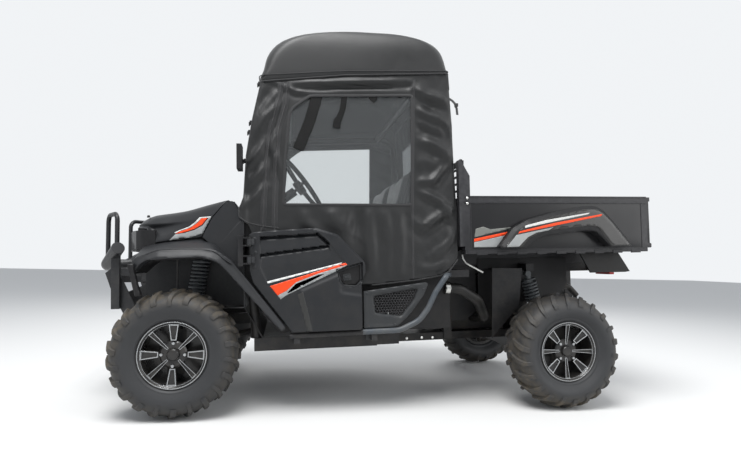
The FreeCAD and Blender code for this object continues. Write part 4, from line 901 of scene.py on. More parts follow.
DRESSED = (
    # node, finish, rounding in millimetres
    ("frame_rails", "frame_steel", 3.0), ("skid_plate", "black_plastic", 1.5),
    ("floor_tub", "black_plastic", 2.0), ("roll_cage", "frame_steel", 1.0),
    ("grille", "grille_plastic", 3.0), ("headlights", "lamp_lens", 6.0), ("door_hinges", "frame_steel", 1.0),
    ("dashboard", "black_plastic", 5.0), ("steering_column", "black_plastic", 1.0),
    ("mirrors", "black_plastic", 6.0), ("engine_block", "engine_casting", 8.0),
    ("gearboxes", "engine_casting", 3.0), ("muffler", "exhaust_steel", 2.0),
    ("intake_duct", "hose_rubber", 1.0), ("heat_shield", "frame_steel", 1.0),
    ("hitch_receiver", "frame_steel", 1.5), ("tail_lamps", "tail_lens", 4.0), ("bed_tub", "bed_steel", 2.5),
    ("mud_guards", "hose_rubber", 1.5), ("tailgate", "bed_steel", 2.5),
    ("steering_wheel", "wheel_rubber", 1.0), ("suspension_arms", "arm_steel", 1.0),
    ("half_shafts", "arm_steel", 1.0), ("rear_uprights", "engine_casting", 2.0),
    ("steering_rack", "engine_casting", 1.0), ("knuckle_left", "engine_casting", 2.0),
    ("knuckle_right", "engine_casting", 2.0), ("tie_rod_left", "arm_steel", 1.0),
    ("tie_rod_right", "arm_steel", 1.0),
)


class VEHICLE_OT_frame(bpy.types.Operator):
    """Frame, running gear and plain panels, with rounded edges and their finishes"""
    bl_idname = "vehicle.frame"
    bl_label = "Frame and running gear"

    def execute(self, context):
        for node, finish, rounding in DRESSED:
            dressed(node, finish, rounding)
        return {"FINISHED"}


# Soft cab, seen from the left as (x, z); a third number rounds that corner.
CAB_FRONT = ((660, 1742), (705, 1533), (735, 1353), (749, 1135), (757, 1092))
CAB_REAR = ((-366, 1828), (-382, 1545), (-385, 1374), (-394, 1161), (-399, 991))
SIDE_SHEET = ((652, 1766), *CAB_FRONT[1:4], (770, 1078, 16), (768, 1026, 34), (722, 996, 30), (700, 925, 10),
              (330, 905), (190, 760), (176, 676, 10), (86, 674), (-155, 694), (-307, 718, 40),
              (-395, 800, 60), *CAB_REAR[:0:-1], (-364, 1848), (-340, 1850), (600, 1780))
WINDOW = (
    (545, 1099, 12), (535, 1332, 200), (508, 1599, 90), (403, 1677, 50), (-155, 1701, 12), (-142, 1098, 12),
)
ZIP_STRIPS = (((549, 1742), (563, 1657), (606, 1504), (628, 1316), (644, 1120), (651, 968)),
              ((520, 1745), (528, 1630), (569, 1486), (580, 1316), (588, 1120), (592, 960)))
FLAP_HEM = ((757, 1100), (768, 1075), (767, 1033), (731, 1006), (678, 992), (570, 975))
REAR_HEM = ((-396, 800), (-345, 735), (-300, 713), (-155, 690), (86, 670))
REAR_SEAM = ((-170, 1790), (-164, 1700), (-152, 1300), (-142, 900), (-140, 700))
CLOTH_Y = 661.0
CLOTH_WALL = 3.0
PANE_Y, PANE_GROWTH = 656.0, 1.022
FOLD_UNIT = 0.0048  # metres of fold depth at which the heights below count as written
# width, height, then the line of each fold
FOLDS = (
    (26, 11, ((-172, 1745), (-225, 1706), (-290, 1688), (-384, 1664))),
    (30, 10, ((-176, 1640), (-240, 1592), (-300, 1572), (-386, 1530))),
    (22, 8, ((-182, 1560), (-250, 1528), (-330, 1500))),
    (30, 10, ((-200, 1452), (-256, 1436), (-327, 1395), (-390, 1352))),
    (24, 9, ((-168, 1222), (-262, 1232), (-312, 1290), (-384, 1346))),
    (22, 8, ((-172, 1180), (-239, 1150), (-300, 1122), (-362, 1032), (-392, 1010))),
    (26, 10, ((-160, 1010), (-205, 972), (-250, 1006), (-330, 1062), (-392, 1090))),
    (24, 9, ((-240, 818), (-303, 846), (-356, 896), (-392, 956))),
    (26, 7, ((-180, 760), (-262, 748), (-350, 800))),
    (30, 6, ((-200, 1330), (-300, 1340), (-380, 1392))),
    (36, 8, ((96, 1086), (92, 900), (70, 690))),
    (30, -7, ((150, 1086), (160, 1000), (178, 930))),
    (36, 8, ((10, 1084), (-12, 892), (0, 700))),
    (28, 6, ((-66, 1080), (-73, 843), (-60, 702))),
    (40, 6, ((300, 1084), (280, 1020), (210, 960))),
    (30, 5, ((440, 1082), (430, 1010), (380, 960))),
    (18, 7, ((560, 1705), (640, 1600), (704, 1500))),
    (18, 7, ((556, 1640), (628, 1560), (690, 1470))),
    (18, 7, ((628, 1440), (684, 1353), (730, 1290))),
    (20, 8, ((640, 1300), (688, 1238), (738, 1160))),
    (18, 7, ((650, 1190), (700, 1130), (752, 1080))),
    (16, 6, ((600, 1400), (572, 1330), (560, 1240))),
    (14, 6, ((575, 1480), (600, 1420), (616, 1330))),
    (14, 7, ((500, 1738), (300, 1752), (60, 1768), (-150, 1782))),
    (12, -7, ((470, 1712), (250, 1730), (40, 1742), (-140, 1748))),
    (14, 5, ((590, 1746), (480, 1700), (400, 1694))),
)


def lumps(x, z, seed):
    """Unevenness of slack cloth at a point, from -1 to 1."""
    coarse = noise.noise(Vector((x / 95, z / 130, seed)))
    fine = noise.noise(Vector((x / 38, z / 48, seed + 7)))
    return 0.7 * coarse + 0.3 * fine


def cloth_heights(points, seed):
    """How far the side sheet stands out at each (x, z)."""
    outline, window = rounded(SIDE_SHEET), rounded(WINDOW)
    border = inside_distance(points, outline)
    off_window = numpy.maximum(-inside_distance(points, window), 0)
    x, z = points[:, 0], points[:, 1]
    relief = numpy.zeros(len(points))
    for width, height, line in FOLDS:
        gap, where = line_distance(points, line)
        taper = numpy.sqrt(numpy.sin(math.pi * numpy.clip(where, 0.03, 0.97)))
        crest = numpy.exp(-(gap / width) ** 2) - 0.45 * numpy.exp(-((gap - 1.7 * width) / (1.2 * width)) ** 2)
        relief += height * crest * taper
    slack = 2.2 + 2.6 * eased((-170 - x) / 60) + 1.5 * eased((x - 560) / 60)
    relief += slack * numpy.array([lumps(a, b, seed) for a, b in points])
    relief *= finish_of().fold_depth / FOLD_UNIT
    relief *= numpy.clip(border / 34, 0.12, 1) * numpy.clip(off_window / 40, 0.1, 1)
    hem = 1.4 * (1 - eased((border - 13) / 3))
    flap = 15.5 * eased((x - 716) / 26) * eased((1168 - z) / 46)
    corner = 9 * numpy.clip(1 - border / 14, 0, 1) ** 2 * (z > 1090) * (z < 1740)
    heights = CLOTH_Y + 1.0 + relief + hem + flap - corner
    tucked = eased((z - numpy.interp(x, (-374, 213, 668), (1828, 1790, 1736))) / 14)
    heights = heights * (1 - tucked) + (CLOTH_Y - 2.0) * tucked
    behind_door = (x < 720) & (z < 985)
    return numpy.where(behind_door, numpy.minimum(heights, 672), numpy.minimum(heights, 682))


def on_cloth(line, seed, step=14.0, lift=0.0):
    """The line's points, laid on the side sheet."""
    flat = numpy.array([tuple(p)[:2] for p in along(line, step)])
    return [(x, y + lift, z) for (x, z), y in zip(flat, cloth_heights(flat, seed))]


def sided(bm, side):
    return other_side(bm) if side == "right" else bm


CAP_HEM = ((-374, 1834), (213, 1797), (668, 1742))
# share of the level height, level height, front, rear, half width, corner radius
CAP_RINGS = (
    (0.0, 1860, 661, -370, 666, 30), (0.2, 1860, 664, -372, 670, 36), (0.55, 1860, 640, -370, 670, 46),
    (1.0, 1868, 634, -369, 670, 62), (1.0, 1920, 616, -366, 669, 84), (1.0, 1970, 584, -358, 665, 110),
    (1.0, 2008, 541, -341, 656, 140), (1.0, 2034, 476, -313, 645, 160), (1.0, 2053, 366, -267, 630, 170),
    (1.0, 2064, 236, -200, 612, 160), (1.0, 2070, 164, -164, 592, 130), (1.0, 2073, 106, -138, 566, 90),
    (1.0, 2075, 60, -112, 530, 60), (1.0, 2076, 30, -80, 470, 40),
)


def cap_loop(share, level, front, rear, half, radius):
    """Points of one level of the roof cap, as many on every level."""
    points = []
    corners = ((front - radius, half - radius, 0), (rear + radius, half - radius, 90),
               (rear + radius, radius - half, 180), (front - radius, radius - half, 270))
    for i, (x, y, start) in enumerate(corners):
        for k in range(9):
            angle = math.radians(start + 90 * k / 8)
            points.append(Vector((x + radius * math.cos(angle), y + radius * math.sin(angle))))
        nx, ny, turn = corners[(i + 1) % 4]
        first = points[-1]
        angle = math.radians(turn)
        last = Vector((nx + radius * math.cos(angle), ny + radius * math.sin(angle)))
        count = 22 if i % 2 == 0 else 26
        points += [first.lerp(last, k / count) for k in range(1, count)]
    hem = numpy.interp([p.x for p in points], *zip(*CAP_HEM))
    return [(p.x, p.y, h * (1 - share) + level * share) for p, h in zip(points, hem)]


def cap_bmesh():
    bm = bmesh.new()
    rings = []
    for row in CAP_RINGS:
        verts = [bm.verts.new(p) for p in cap_loop(*row)]
        rings.append([bm.edges.new((verts[k], verts[(k + 1) % len(verts)])) for k in range(len(verts))])
    for low, high in zip(rings, rings[1:]):
        bmesh.ops.bridge_loops(bm, edges=low + high)
    bmesh.ops.contextual_create(bm, geom=rings[-1])
    bmesh.ops.recalc_face_normals(bm, faces=bm.faces)
    bm.normal_update()
    for v in bm.verts:
        x, y, z = v.co
        calm = min(1.0, max(0.0, (z - 1830) / 60)) * 0.8 + 0.2
        sag = 2.6 * noise.noise(Vector((x / 190, y / 190, z / 120))) - 1.2
        crown = 2.0 * math.sin(x / 88) * min(1, max(0, (z - 1990) / 40))
        v.co += v.normal * (sag * calm + crown * 0.5)
    return bm


def edge_x(edge, z):
    """x at the height z of an edge seen from the side."""
    zs, xs = zip(*sorted((h, x) for x, h in edge))
    return float(numpy.interp(z, zs, xs))


def across(bm, edge, bulge, offset):
    """Bend a flat (y, z) sheet to an edge seen from the side; offset(y, z) stands out along bulge."""
    for v in bm.verts:
        y, z = v.co.x, v.co.y
        v.co = (edge_x(edge, z) + bulge * offset(y, z), y, z)
    bm.normal_update()
    bmesh.ops.reverse_faces(bm, faces=[f for f in bm.faces if f.normal.x * bulge < 0])
    return bm


def end_sheet(edge, half, hole, seed, bulge):
    """Sheet across the cab with its window cut."""
    low, high = min(z for _, z in edge), max(z for _, z in edge)

    def slack(y, z):
        coarse = noise.noise(Vector((y / 110, z / 120, seed)))
        fine = noise.noise(Vector((y / 40, z / 50, seed)))
        border = min(abs(abs(y) - abs(hole[0][0])), abs(z - hole[0][1]), abs(z - hole[2][1]))
        return (5.0 * coarse + 2.0 * fine) * min(1.0, 0.15 + border / 60) - 4.0

    bm = trimmed_grid([(-half, low), (half, low), (half, high), (-half, high)], [hole], 20.0)
    return across(bm, edge, bulge, slack)


def sheet_piece(name, bm, finish, wall=CLOTH_WALL, levels=0, recalculate=False):
    """Sheet of cloth or clear vinyl with its thickness."""
    piece = add_piece(name, bm, "chassis", finish, finish, smooth=180, levels=levels, recalculate=recalculate)
    thickened(piece, wall)
    return piece


class VEHICLE_OT_cab(bpy.types.Operator):
    """Soft cab: side sheets with zips, roof cap, end sheets, clear windows and straps"""
    bl_idname = "vehicle.cab"
    bl_label = "Soft cab"

    def execute(self, context):
        for side, seed in (("left", 3.0), ("right", 11.0)):
            bm = trimmed_grid(rounded(SIDE_SHEET), [rounded(WINDOW)], 11.0)
            raised(bm, cloth_heights(flat_points(bm), seed))
            sheet_piece("side_cloth_" + side, sided(bm, side), "cab_fabric")
            trim = bmesh.new()
            for line in ZIP_STRIPS:
                swept(trim, on_cloth(line, seed, lift=0.4), band(30, 1.6), (0, 1, 0))
                swept(trim, on_cloth(line, seed, lift=3.0), cord_section(2.4), (0, 1, 0))
            swept(trim, on_cloth(REAR_SEAM, seed, lift=0.3), band(13, 1.2), (0, 1, 0))
            border = on_cloth(rounded(WINDOW) + rounded(WINDOW)[:1], seed, lift=0.3)[:-1]
            swept(trim, border, band(14, 1.6), (0, 1, 0), closed=True)
            swept(trim, on_cloth(FLAP_HEM, seed, lift=0.5), cord_section(3.6), (0, 1, 0))
            swept(trim, on_cloth(REAR_HEM, seed, lift=-1), cord_section(3.4), (0, 1, 0))
            for x, z, lean in ((652, 965, 8), (594, 958, -6)):
                y = float(cloth_heights(numpy.array([[x, z]]), seed)[0]) + 3
                swept(trim, [(x, y, z + 14), (x + lean, y + 2, z - 4), (x + lean, y + 1, z - 20)],
                      band(12, 2.0), (0, 1, 0))
            add_piece("cab_trim_" + side, sided(trim, side), "chassis", "strap_web", "cab_fabric", smooth=50)
            grown = [(200 + (x - 200) * PANE_GROWTH, 1400 + (z - 1400) * PANE_GROWTH)
                     for x, z in rounded(WINDOW)]
            pane = trimmed_grid(grown, (), 26.0)
            raised(pane, [PANE_Y + 1.4 * lumps(x * 0.6, z * 0.6, seed) for x, z in flat_points(pane)])
            sheet_piece("clear_window_" + side, sided(pane, side), "clear_vinyl",
                                      wall=1.0)
        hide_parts("side_curtains")
        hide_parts("cab_windows")

        cap = sheet_piece("roof_cloth", cap_bmesh(), "cab_fabric",
                          levels=1, recalculate=True)
        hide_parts("roof_cap")
        piping = bmesh.new()
        for row, lift, radius in ((CAP_RINGS[0], -1.0, 4.2), (CAP_RINGS[1], 8.0, 2.6)):
            loop = [(x, y, z + lift) for x, y, z in cap_loop(*row)]
            swept(piping, loop, cord_section(radius), (0, 0, 1), closed=True)
        add_piece("roof_piping", piping, "chassis", "strap_web", "cab_fabric", smooth=60)

        screen = [(-575, 1120), (575, 1120), (575, 1670), (-575, 1670)]
        lookout = [(-480, 1270), (480, 1270), (480, 1640), (-480, 1640)]
        front = sheet_piece("front_cloth", end_sheet(CAB_FRONT[:4] + ((757, 1040),), 652, screen, 5.0, 1),
                            "cab_fabric")
        sheet_piece("rear_cloth", end_sheet(CAB_REAR + ((-394, 800),), 652, lookout, 9.0, -1), "cab_fabric")
        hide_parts("end_curtains")
        for name, hole, edge, bulge, holder in (("windscreen", screen, CAB_FRONT, 1, "front_cloth"),
                                                ("rear_window", lookout, CAB_REAR, -1, "rear_cloth")):
            pane = across(trimmed_grid(hole, (), 30.0), edge, bulge,
                          lambda y, z: -(5 + 2 * noise.noise(Vector((y / 150, z / 150, 2)))))
            width, height = hole[1][0] * 2 * MM, (hole[2][1] - hole[1][1]) * MM
            sheet_piece(name, pane, "clear_vinyl",
                        wall=1.0)

        fittings = bmesh.new()
        for z in (1737, 1530, 1480, 1330):
            x = edge_x(CAB_FRONT, z)
            box(fittings, (x - 2, x + 9), (622, 652), (z - 9, z + 9))
            box(fittings, (x + 8, x + 14), (630, 642), (z - 16, z + 4))
        both_sides(fittings)
        add_piece("screen_fittings", fittings, "chassis", "black_plastic", "black_plastic", bevel=1.5)
        straps = bmesh.new()
        swept(straps, [(-372, 640, 1700), (-388, 652, 1684), (-402, 655, 1668), (-412, 655, 1640),
                       (-416, 654, 1604)],
              band(18, 2.2), (-0.5, 1, 0))
        box(straps, (-420, -404), (642, 662), (1650, 1668))
        both_sides(straps)
        add_piece("cab_straps", straps, "chassis", "strap_web", "cab_fabric", bevel=0.5, segments=1)
        loops = bmesh.new()
        for top, tail, width in (((214, 1694), (262, 1524), 30), ((362, 1684), (466, 1390), 58),
                                 ((60, 1694), (72, 1664), 40)):
            middle = ((top[0] + tail[0]) / 2 - 8, (top[1] + tail[1]) / 2)
            swept(loops, [(x, 658.5, z) for x, z in (top, middle, tail)], band(width, 2.0), (0, 1, 0))
        swept(loops, [(252, 659, 1560), (260, 659, 1534), (264, 659, 1510)], band(38, 5.0), (0, 1, 0))
        add_piece("window_straps", loops, "chassis", "dark_web", "cab_fabric", bevel=0.5, segments=1)
        return {"FINISHED"}


# Half door, seen from the left as (x, z); the outer face stands at DOOR_FACE.
DOOR_BACK, DOOR_FACE = 676.0, 724.0
DOOR = (
    (716, 942, 4), (700, 953, 14), (560, 963, 60), (382, 973, 60), (272, 940, 60), (130, 794, 50),
    (128, 742, 24), (149, 690, 20), (150, 446, 14), (508, 446, 10), (518, 458, 10), (700, 700, 40),
    (716, 760, 30),
)
LOUVRE_FIELD = ((665, 931, 6), (370, 948, 30), (313, 893, 20), (246, 806, 12), (236, 790, 4), (250, 784, 4),
                (629, 699, 10), (664, 780, 30))
LOUVRES = (((663, 928), (370, 945), (314, 892)), ((663, 842), (316, 884)))
HANDLE_RECESS = ((276, 754, 6), (264, 700, 14), (244, 674, 14), (178, 668, 18), (146, 700, 10), (146, 792, 4))
LOWER_SWELL = ((466, 652, 6), (262, 735, 10), (262, 640, 20), (140, 620), (140, 436), (419, 436, 4))
DOOR_FILMS_AND_PAINTED_LIGHT = (
    # finish, outline
    ("white_film", ((631, 705), (251, 794), (254, 786), (627, 695))),
    ("orange_film", ((617, 682), (234, 792), (224, 781), (373, 740), (486, 698), (536, 655), (579, 634))),
    ("silver_film",
     ((579, 634), (536, 655), (486, 698), (373, 740), (224, 781), (272, 754), (536, 634), (564, 614))),
    # Lighter strip along the lower crease: a painted highlight for a facet that faces the light.
    ("crease_film", ((480, 636), (452, 648), (406, 450), (434, 450))),
    # Black sheet laid in the handle recess: painted shade in the recess.
    ("black_plastic", ((264, 744), (256, 700), (240, 680), (180, 675), (156, 700), (156, 778))),
    ("carbon_film", ((530, 648), (487, 691), (373, 733), (340, 738), (526, 643))),
)
HOOD_ROWS = (
    # x, y, z from the side seam up to the middle of the lid, one row for each station towards the front
    ((954, 652, 938), (948, 655, 950), (926, 660, 992), (903, 663, 1034), (896, 664, 1043), (846, 662, 1103),
     (824, 640, 1128), (819, 320, 1136), (819, 0, 1139)),
    ((966, 648, 934), (960, 651, 948), (940, 656, 990), (920, 659, 1032), (912, 660, 1043), (868, 655, 1101),
     (846, 628, 1125), (840, 320, 1134), (840, 0, 1137)),
    ((1000, 636, 930), (998, 638, 942), (990, 640, 975), (980, 640, 1016), (976, 638, 1030),
     (955, 622, 1078), (940, 590, 1104), (925, 300, 1128), (920, 0, 1132)),
    ((1060, 618, 927), (1060, 618, 938), (1058, 614, 964), (1055, 598, 1004), (1052, 598, 1018),
     (1045, 575, 1058), (1040, 540, 1080), (1030, 290, 1106), (1028, 0, 1112)),
    ((1117, 600, 922), (1117, 600, 933), (1117, 592, 957), (1117, 562, 1000), (1116, 576, 1012),
     (1112, 552, 1050), (1110, 508, 1072), (1108, 275, 1092), (1108, 0, 1099)),
    ((1170, 594, 915), (1170, 593, 925), (1170, 582, 950), (1170, 544, 992), (1170, 564, 1010),
     (1168, 536, 1046), (1166, 488, 1067), (1164, 265, 1083), (1164, 0, 1091)),
    ((1212, 587, 909), (1212, 586, 918), (1212, 571, 944), (1212, 532, 986), (1212, 552, 1010),
     (1212, 520, 1042), (1212, 468, 1063), (1212, 253, 1076), (1212, 0, 1084)),
    ((1226, 572, 960), (1226, 571, 964), (1226, 561, 972), (1226, 534, 990), (1226, 548, 1011),
     (1226, 512, 1041), (1226, 458, 1060), (1226, 247, 1072), (1226, 0, 1080)),
    ((1240, 552, 985), (1240, 551, 989), (1240, 545, 995), (1240, 530, 1001), (1240, 539, 1013),
     (1240, 503, 1040), (1240, 447, 1057), (1240, 241, 1068), (1240, 0, 1076)),
    ((1275, 520, 986), (1275, 519, 990), (1275, 512, 996), (1275, 500, 1002), (1275, 508, 1012),
     (1275, 470, 1032), (1275, 415, 1044), (1275, 225, 1052), (1275, 0, 1057)),
    ((1300, 480, 992), (1300, 478, 995), (1300, 470, 999), (1300, 460, 1004), (1300, 464, 1009),
     (1300, 430, 1018), (1300, 380, 1025), (1300, 205, 1031), (1300, 0, 1035)),
)
HOOD_FILMS = (
    ("silver_film",
     ((1121, 921), (1091, 952), (1043, 957), (991, 971), (948, 994), (921, 1029), (887, 1033), (897, 1017),
      (934, 959), (990, 940), (1050, 926))),
    ("orange_film",
     ((1091, 954), (1068, 966), (1014, 982), (978, 1005), (956, 1029), (925, 1032), (952, 998), (992, 976),
      (1043, 961))),
    ("white_film",
     ((1097, 962), (1068, 974), (1020, 990), (988, 1012), (966, 1036), (885, 1039), (884, 1034), (956, 1031),
      (979, 1007), (1015, 984), (1069, 968), (1092, 956))),
)
FLARE = ((1267, 757, 8), (1263, 829, 40), (1148, 876, 150), (885, 876, 130), (800, 812, 120), (512, 438, 14),
         (566, 462, 14), (862, 806, 110), (944, 832, 80), (1200, 822, 60))
FLARE_BROW = (
    (1268, 757), (1258, 824), (1206, 852), (1148, 872), (1040, 876), (940, 874), (886, 862), (846, 842),
    (806, 806), (760, 748), (512, 440),
)
FENDER_ROWS = (
    # x, then y and z from under the hood's edge out to the flare
    (1268, ((560, 872), (600, 858), (650, 838), (700, 815), (741, 790))),
    (1262, ((562, 884), (602, 870), (652, 849), (702, 825), (742, 800))),
    (1240, ((568, 897), (616, 886), (668, 866), (712, 838), (739, 820))),
    (1200, ((572, 905), (620, 897), (672, 882), (716, 862), (739, 850))),
    (1148, ((580, 914), (626, 906), (675, 894), (717, 878), (738, 872))),
    (1060, ((598, 921), (640, 912), (682, 899), (718, 885), (738, 876))),
    (960, ((632, 931), (664, 920), (692, 904), (720, 885), (738, 872))),
    (885, ((662, 899), (684, 893), (705, 884), (725, 874), (738, 864))),
    (830, ((666, 836), (685, 836), (705, 833), (725, 828), (746, 819))),
    (796, ((666, 808), (685, 808), (705, 806), (725, 803), (746, 796))),
)
FENDER_LEG = (
    (1283, 806, 8), (1271, 767, 14), (1254, 690, 14), (1243, 650, 4), (1217, 652, 4), (1233, 704, 14),
    (1247, 764, 14), (1252, 806, 6),
)
SIDE_PANEL = ((140, 641, 8), (-218, 682, 12), (-182, 606, 30), (-104, 508, 60), (-38, 452, 40), (140, 448, 8))
SIDE_FIELD = ((122, 622, 10), (-188, 662, 8), (-160, 604, 20), (-24, 462, 24), (122, 466, 8))
SIDE_GRILLE = ((84, 612, 8), (-157, 648, 8), (-130, 588, 16), (-60, 506, 16), (76, 527, 10))
BED_FLARE = tuple((x - 1001.6, z, r) for x, z, r in (
    (-420, 859, 8), (-300, 1000, 60), (-242, 1060, 60), (-191, 1086, 60), (-120, 1086, 80), (64, 1053, 90),
    (226, 1010, 60), (310, 966, 60), (397, 857, 8), (250, 855, 8), (208, 890, 40), (129, 922, 60),
    (-126, 948, 60), (-174, 942, 30), (-268, 857, 6)))
BED_PLATE = (
    (-1392, 862, 6), (-1286, 988, 60), (-1226, 1046, 60), (-1186, 1068, 50), (-1120, 1070, 80),
    (-938, 1034, 90), (-782, 992, 60), (-716, 950, 60), (-628, 861, 8), (-728, 861, 8), (-776, 910, 40),
    (-866, 946, 60), (-1128, 974, 60), (-1188, 966, 30), (-1268, 861, 6),
)
BED_PANEL = ((-1510, 852, 4), (-1510, 1102, 4), (-468, 1102, 4), (-468, 852, 4))
BED_BROW = (
    (-1421, 859), (-1300, 1002), (-1240, 1062), (-1190, 1086), (-1120, 1086), (-938, 1053), (-776, 1010),
    (-692, 966), (-604, 857),
)
BED_FLARE_FILMS = (
    ("white_film", ((-752, 976), (-875, 1006), (-1139, 1046), (-1127, 1037), (-815, 977), (-749, 963))),
    ("orange_film", ((-717, 945), (-914, 988), (-1215, 1038), (-1208, 1027), (-916, 973), (-707, 933))),
    ("silver_film",
     ((-697, 925), (-916, 966), (-885, 948), (-814, 937), (-764, 913), (-709, 861), (-640, 860))),
)
BED_SIDE_FILMS_AND_PAINTED_REFLECTION = (
    ("silver_film", ((-480, 890), (-660, 926), (-627, 863), (-480, 863))),
    ("orange_film", ((-480, 909), (-680, 947), (-671, 930), (-480, 893))),
    # Pale patch: a painted reflection on the bed's side.
    ("pale_film",
     ((-491, 964), (-535, 976), (-578, 961), (-698, 972), (-688, 963), (-514, 925), (-483, 918))),
)


def both(build, name, body, *finish, **rest):
    """Left piece and its mirror on the right; body may hold %s for the side."""
    made = []
    for side in ("left", "right"):
        where = body % side if "%s" in body else body
        made.append(add_piece("%s_%s" % (name, side), sided(build(), side), where, *finish, **rest))
    return made


def films(rows, surface, name, body, lift=0.7, cell=9.0, fallback=0.0):
    """Stripes cut from film, laid on a surface on both sides; some rows are sheets of painted light: a
    highlight, a shade and a reflection.
    """
    tree = surface_of(surface)
    for index, (finish, outline) in enumerate(rows):
        def lay():
            return film_bmesh(tree, list(outline), lift, cell, fallback)
        for piece in both(lay, "%s_%s_%d" % (name, finish, index), body, finish, smooth=180,
                          recalculate=False):
            thickened(piece, 0.5)


def panel_rows(rows):
    """Open sheet through rows of (x, y, z) points, with one more row and column between them."""
    bm = bmesh.new()
    chains = []
    for row in rows:
        verts = [bm.verts.new(p) for p in row]
        chains.append([bm.edges.new(pair) for pair in zip(verts, verts[1:])])
    for low, high in zip(chains, chains[1:]):
        bmesh.ops.bridge_loops(bm, edges=low + high)
    bmesh.ops.subdivide_edges(bm, edges=bm.edges, cuts=1, use_grid_fill=True, smooth=0.0)
    return bm


def cylinder(bm, place, radius, length, sides):
    bmesh.ops.create_cone(bm, cap_ends=True, segments=sides, radius1=radius, radius2=radius, depth=length,
                          matrix=place)


def upright_rod(bm, x, y, z, radius, sides=20):
    cylinder(bm, Matrix.Translation((x, y, (z[0] + z[1]) / 2)), radius, z[1] - z[0], sides)


def door_bmesh():
    bm = moulded(rounded(DOOR), DOOR_FACE, 5.0,
                 fields=((rounded(LOUVRE_FIELD), -5.0, 5.0), (rounded(HANDLE_RECESS), -24.0, 7.0),
                         (rounded(LOWER_SWELL), 9.0, 26.0)),
                 steps=((LOUVRES[0], 16.0, 17.0), (LOUVRES[1], 16.0, 17.0), (LOUVRES[0], 7.0, 64.0),
                        (LOUVRES[1], 7.0, 70.0)),
                 slopes=((((400, 973), (272, 940), (130, 794)), 6.0, 8.0),), cell=5.5, back=DOOR_BACK)
    lip = [(266, 716, 724), (262, 717, 700), (244, 717, 674), (178, 717, 668), (152, 716, 694)]
    swept(bm, lip, band(9, 5), (0, 1, 0))
    for z in (800, 890):
        box(bm, (690, 716), (DOOR_FACE - 6, 741), (z, z + 30))
        upright_rod(bm, 716, 737, (z, z + 30), 12)
    for x, z in ((690, 920), (685, 850), (691, 780)):
        dome_bolt(bm, (x, DOOR_FACE - 0.3, z), 9.5, 4.0, 14)
    return bm


def latch_bmesh():
    bm = bmesh.new()
    slab_y(bm, rounded(((247, 733, 5), (205, 736, 5), (202, 701, 5), (242, 698, 5))), 699, 706)
    slab_y(bm, rounded(((240, 724, 4), (214, 727, 4), (212, 714, 4), (238, 712, 4))), 705, 712)
    dome_bolt(bm, (234, 706, 705), 3.4, 2.0)
    dome_bolt(bm, (211, 706, 706), 3.4, 2.0)
    return bm


def side_panel_bmesh():
    bm = moulded(rounded(SIDE_PANEL), 706.0, 4.0,
                 fields=((rounded(SIDE_FIELD), -3.0, 6.0), (rounded(SIDE_GRILLE), -14.0, 26.0)),
                 holes=[rounded(SIDE_GRILLE)], cell=7.0)
    walled(bm, 690.0)
    box(bm, (60, 120), (640, 688), (452, 470))
    box(bm, (60, 120), (640, 646), (380, 470))
    for x, z in ((125, 636), (-180, 650), (118, 462), (-20, 470)):
        dome_bolt(bm, (x - 4, 705, z - 6), 7.0, 3.2)
    return bm


def honeycomb_bmesh(field, pitch, web, y):
    """Six-sided web across a field, cut to its outline."""
    bm = bmesh.new()
    radius = pitch / math.sqrt(3)
    xs, zs = [p[0] for p in field], [p[1] for p in field]
    rows = int((max(zs) - min(zs)) / (1.5 * radius)) + 2
    for row in range(rows):
        for column in range(int((max(xs) - min(xs)) / pitch) + 2):
            x = min(xs) + (column + 0.5 * (row % 2)) * pitch
            z = min(zs) + row * 1.5 * radius
            bmesh.ops.create_circle(bm, cap_ends=True, segments=6, radius=radius,
                                    matrix=Matrix.Translation((x, z, 0)))
    bmesh.ops.remove_doubles(bm, verts=bm.verts, dist=0.4)
    centres = numpy.array([f.calc_center_median()[:2] for f in bm.faces])
    keep = inside_distance(centres, field) > -radius * 0.4
    bmesh.ops.delete(bm, geom=[f for f, kept in zip(bm.faces, keep) if not kept], context="FACES")
    inner = list(bm.faces)
    bmesh.ops.inset_individual(bm, faces=inner, thickness=web)
    bmesh.ops.delete(bm, geom=inner, context="FACES_ONLY")
    raised(bm, [y] * len(bm.verts))
    return bm


def cut_off(bm, point, outward):
    """Cut a solid at a plane, and close what is left."""
    cut = bmesh.ops.bisect_plane(bm, geom=everything(bm), dist=0.01, plane_co=point, plane_no=outward,
                                 clear_outer=True)["geom_cut"]
    bmesh.ops.triangle_fill(bm, edges=edges_in(cut), use_beauty=True, use_dissolve=True)


def cowl_bmesh():
    """The cowl's solid with its cheeks planed off below the hood line."""
    bm = solid_bmesh("cowl")
    bmesh.ops.transform(bm, matrix=LEVEL.inverted(), verts=bm.verts)
    cut_off(bm, (800, 0, 1116), (0.12, 0, 1))
    return bm


def hood_bmesh():
    """Lid through its rows and their mirror, with its faces pointing up."""
    bm = panel_rows(HOOD_ROWS)
    bmesh.ops.mirror(bm, geom=everything(bm), axis="Y", merge_dist=0.1)
    bmesh.ops.remove_doubles(bm, verts=bm.verts, dist=0.1)
    bmesh.ops.recalc_face_normals(bm, faces=bm.faces)
    top = max(bm.faces, key=lambda f: f.calc_center_median().z)
    bm.normal_update()
    if top.normal.z < 0:
        bmesh.ops.reverse_faces(bm, faces=bm.faces)
    return bm


def fender_skin_bmesh():
    """Sheet from under the hood's edge out to the flare, its faces pointing up and out."""
    bm = panel_rows([[(x, y, z) for y, z in row] for x, row in FENDER_ROWS])
    bmesh.ops.recalc_face_normals(bm, faces=bm.faces)
    bm.normal_update()
    if sum(f.normal.z + f.normal.y for f in bm.faces) < 0:
        bmesh.ops.reverse_faces(bm, faces=bm.faces)
    return bm


def front_flare_bmesh():
    return moulded(rounded(FLARE), 760.0, 5.0, slopes=((FLARE_BROW, 24.0, 46.0),), back=672.0)


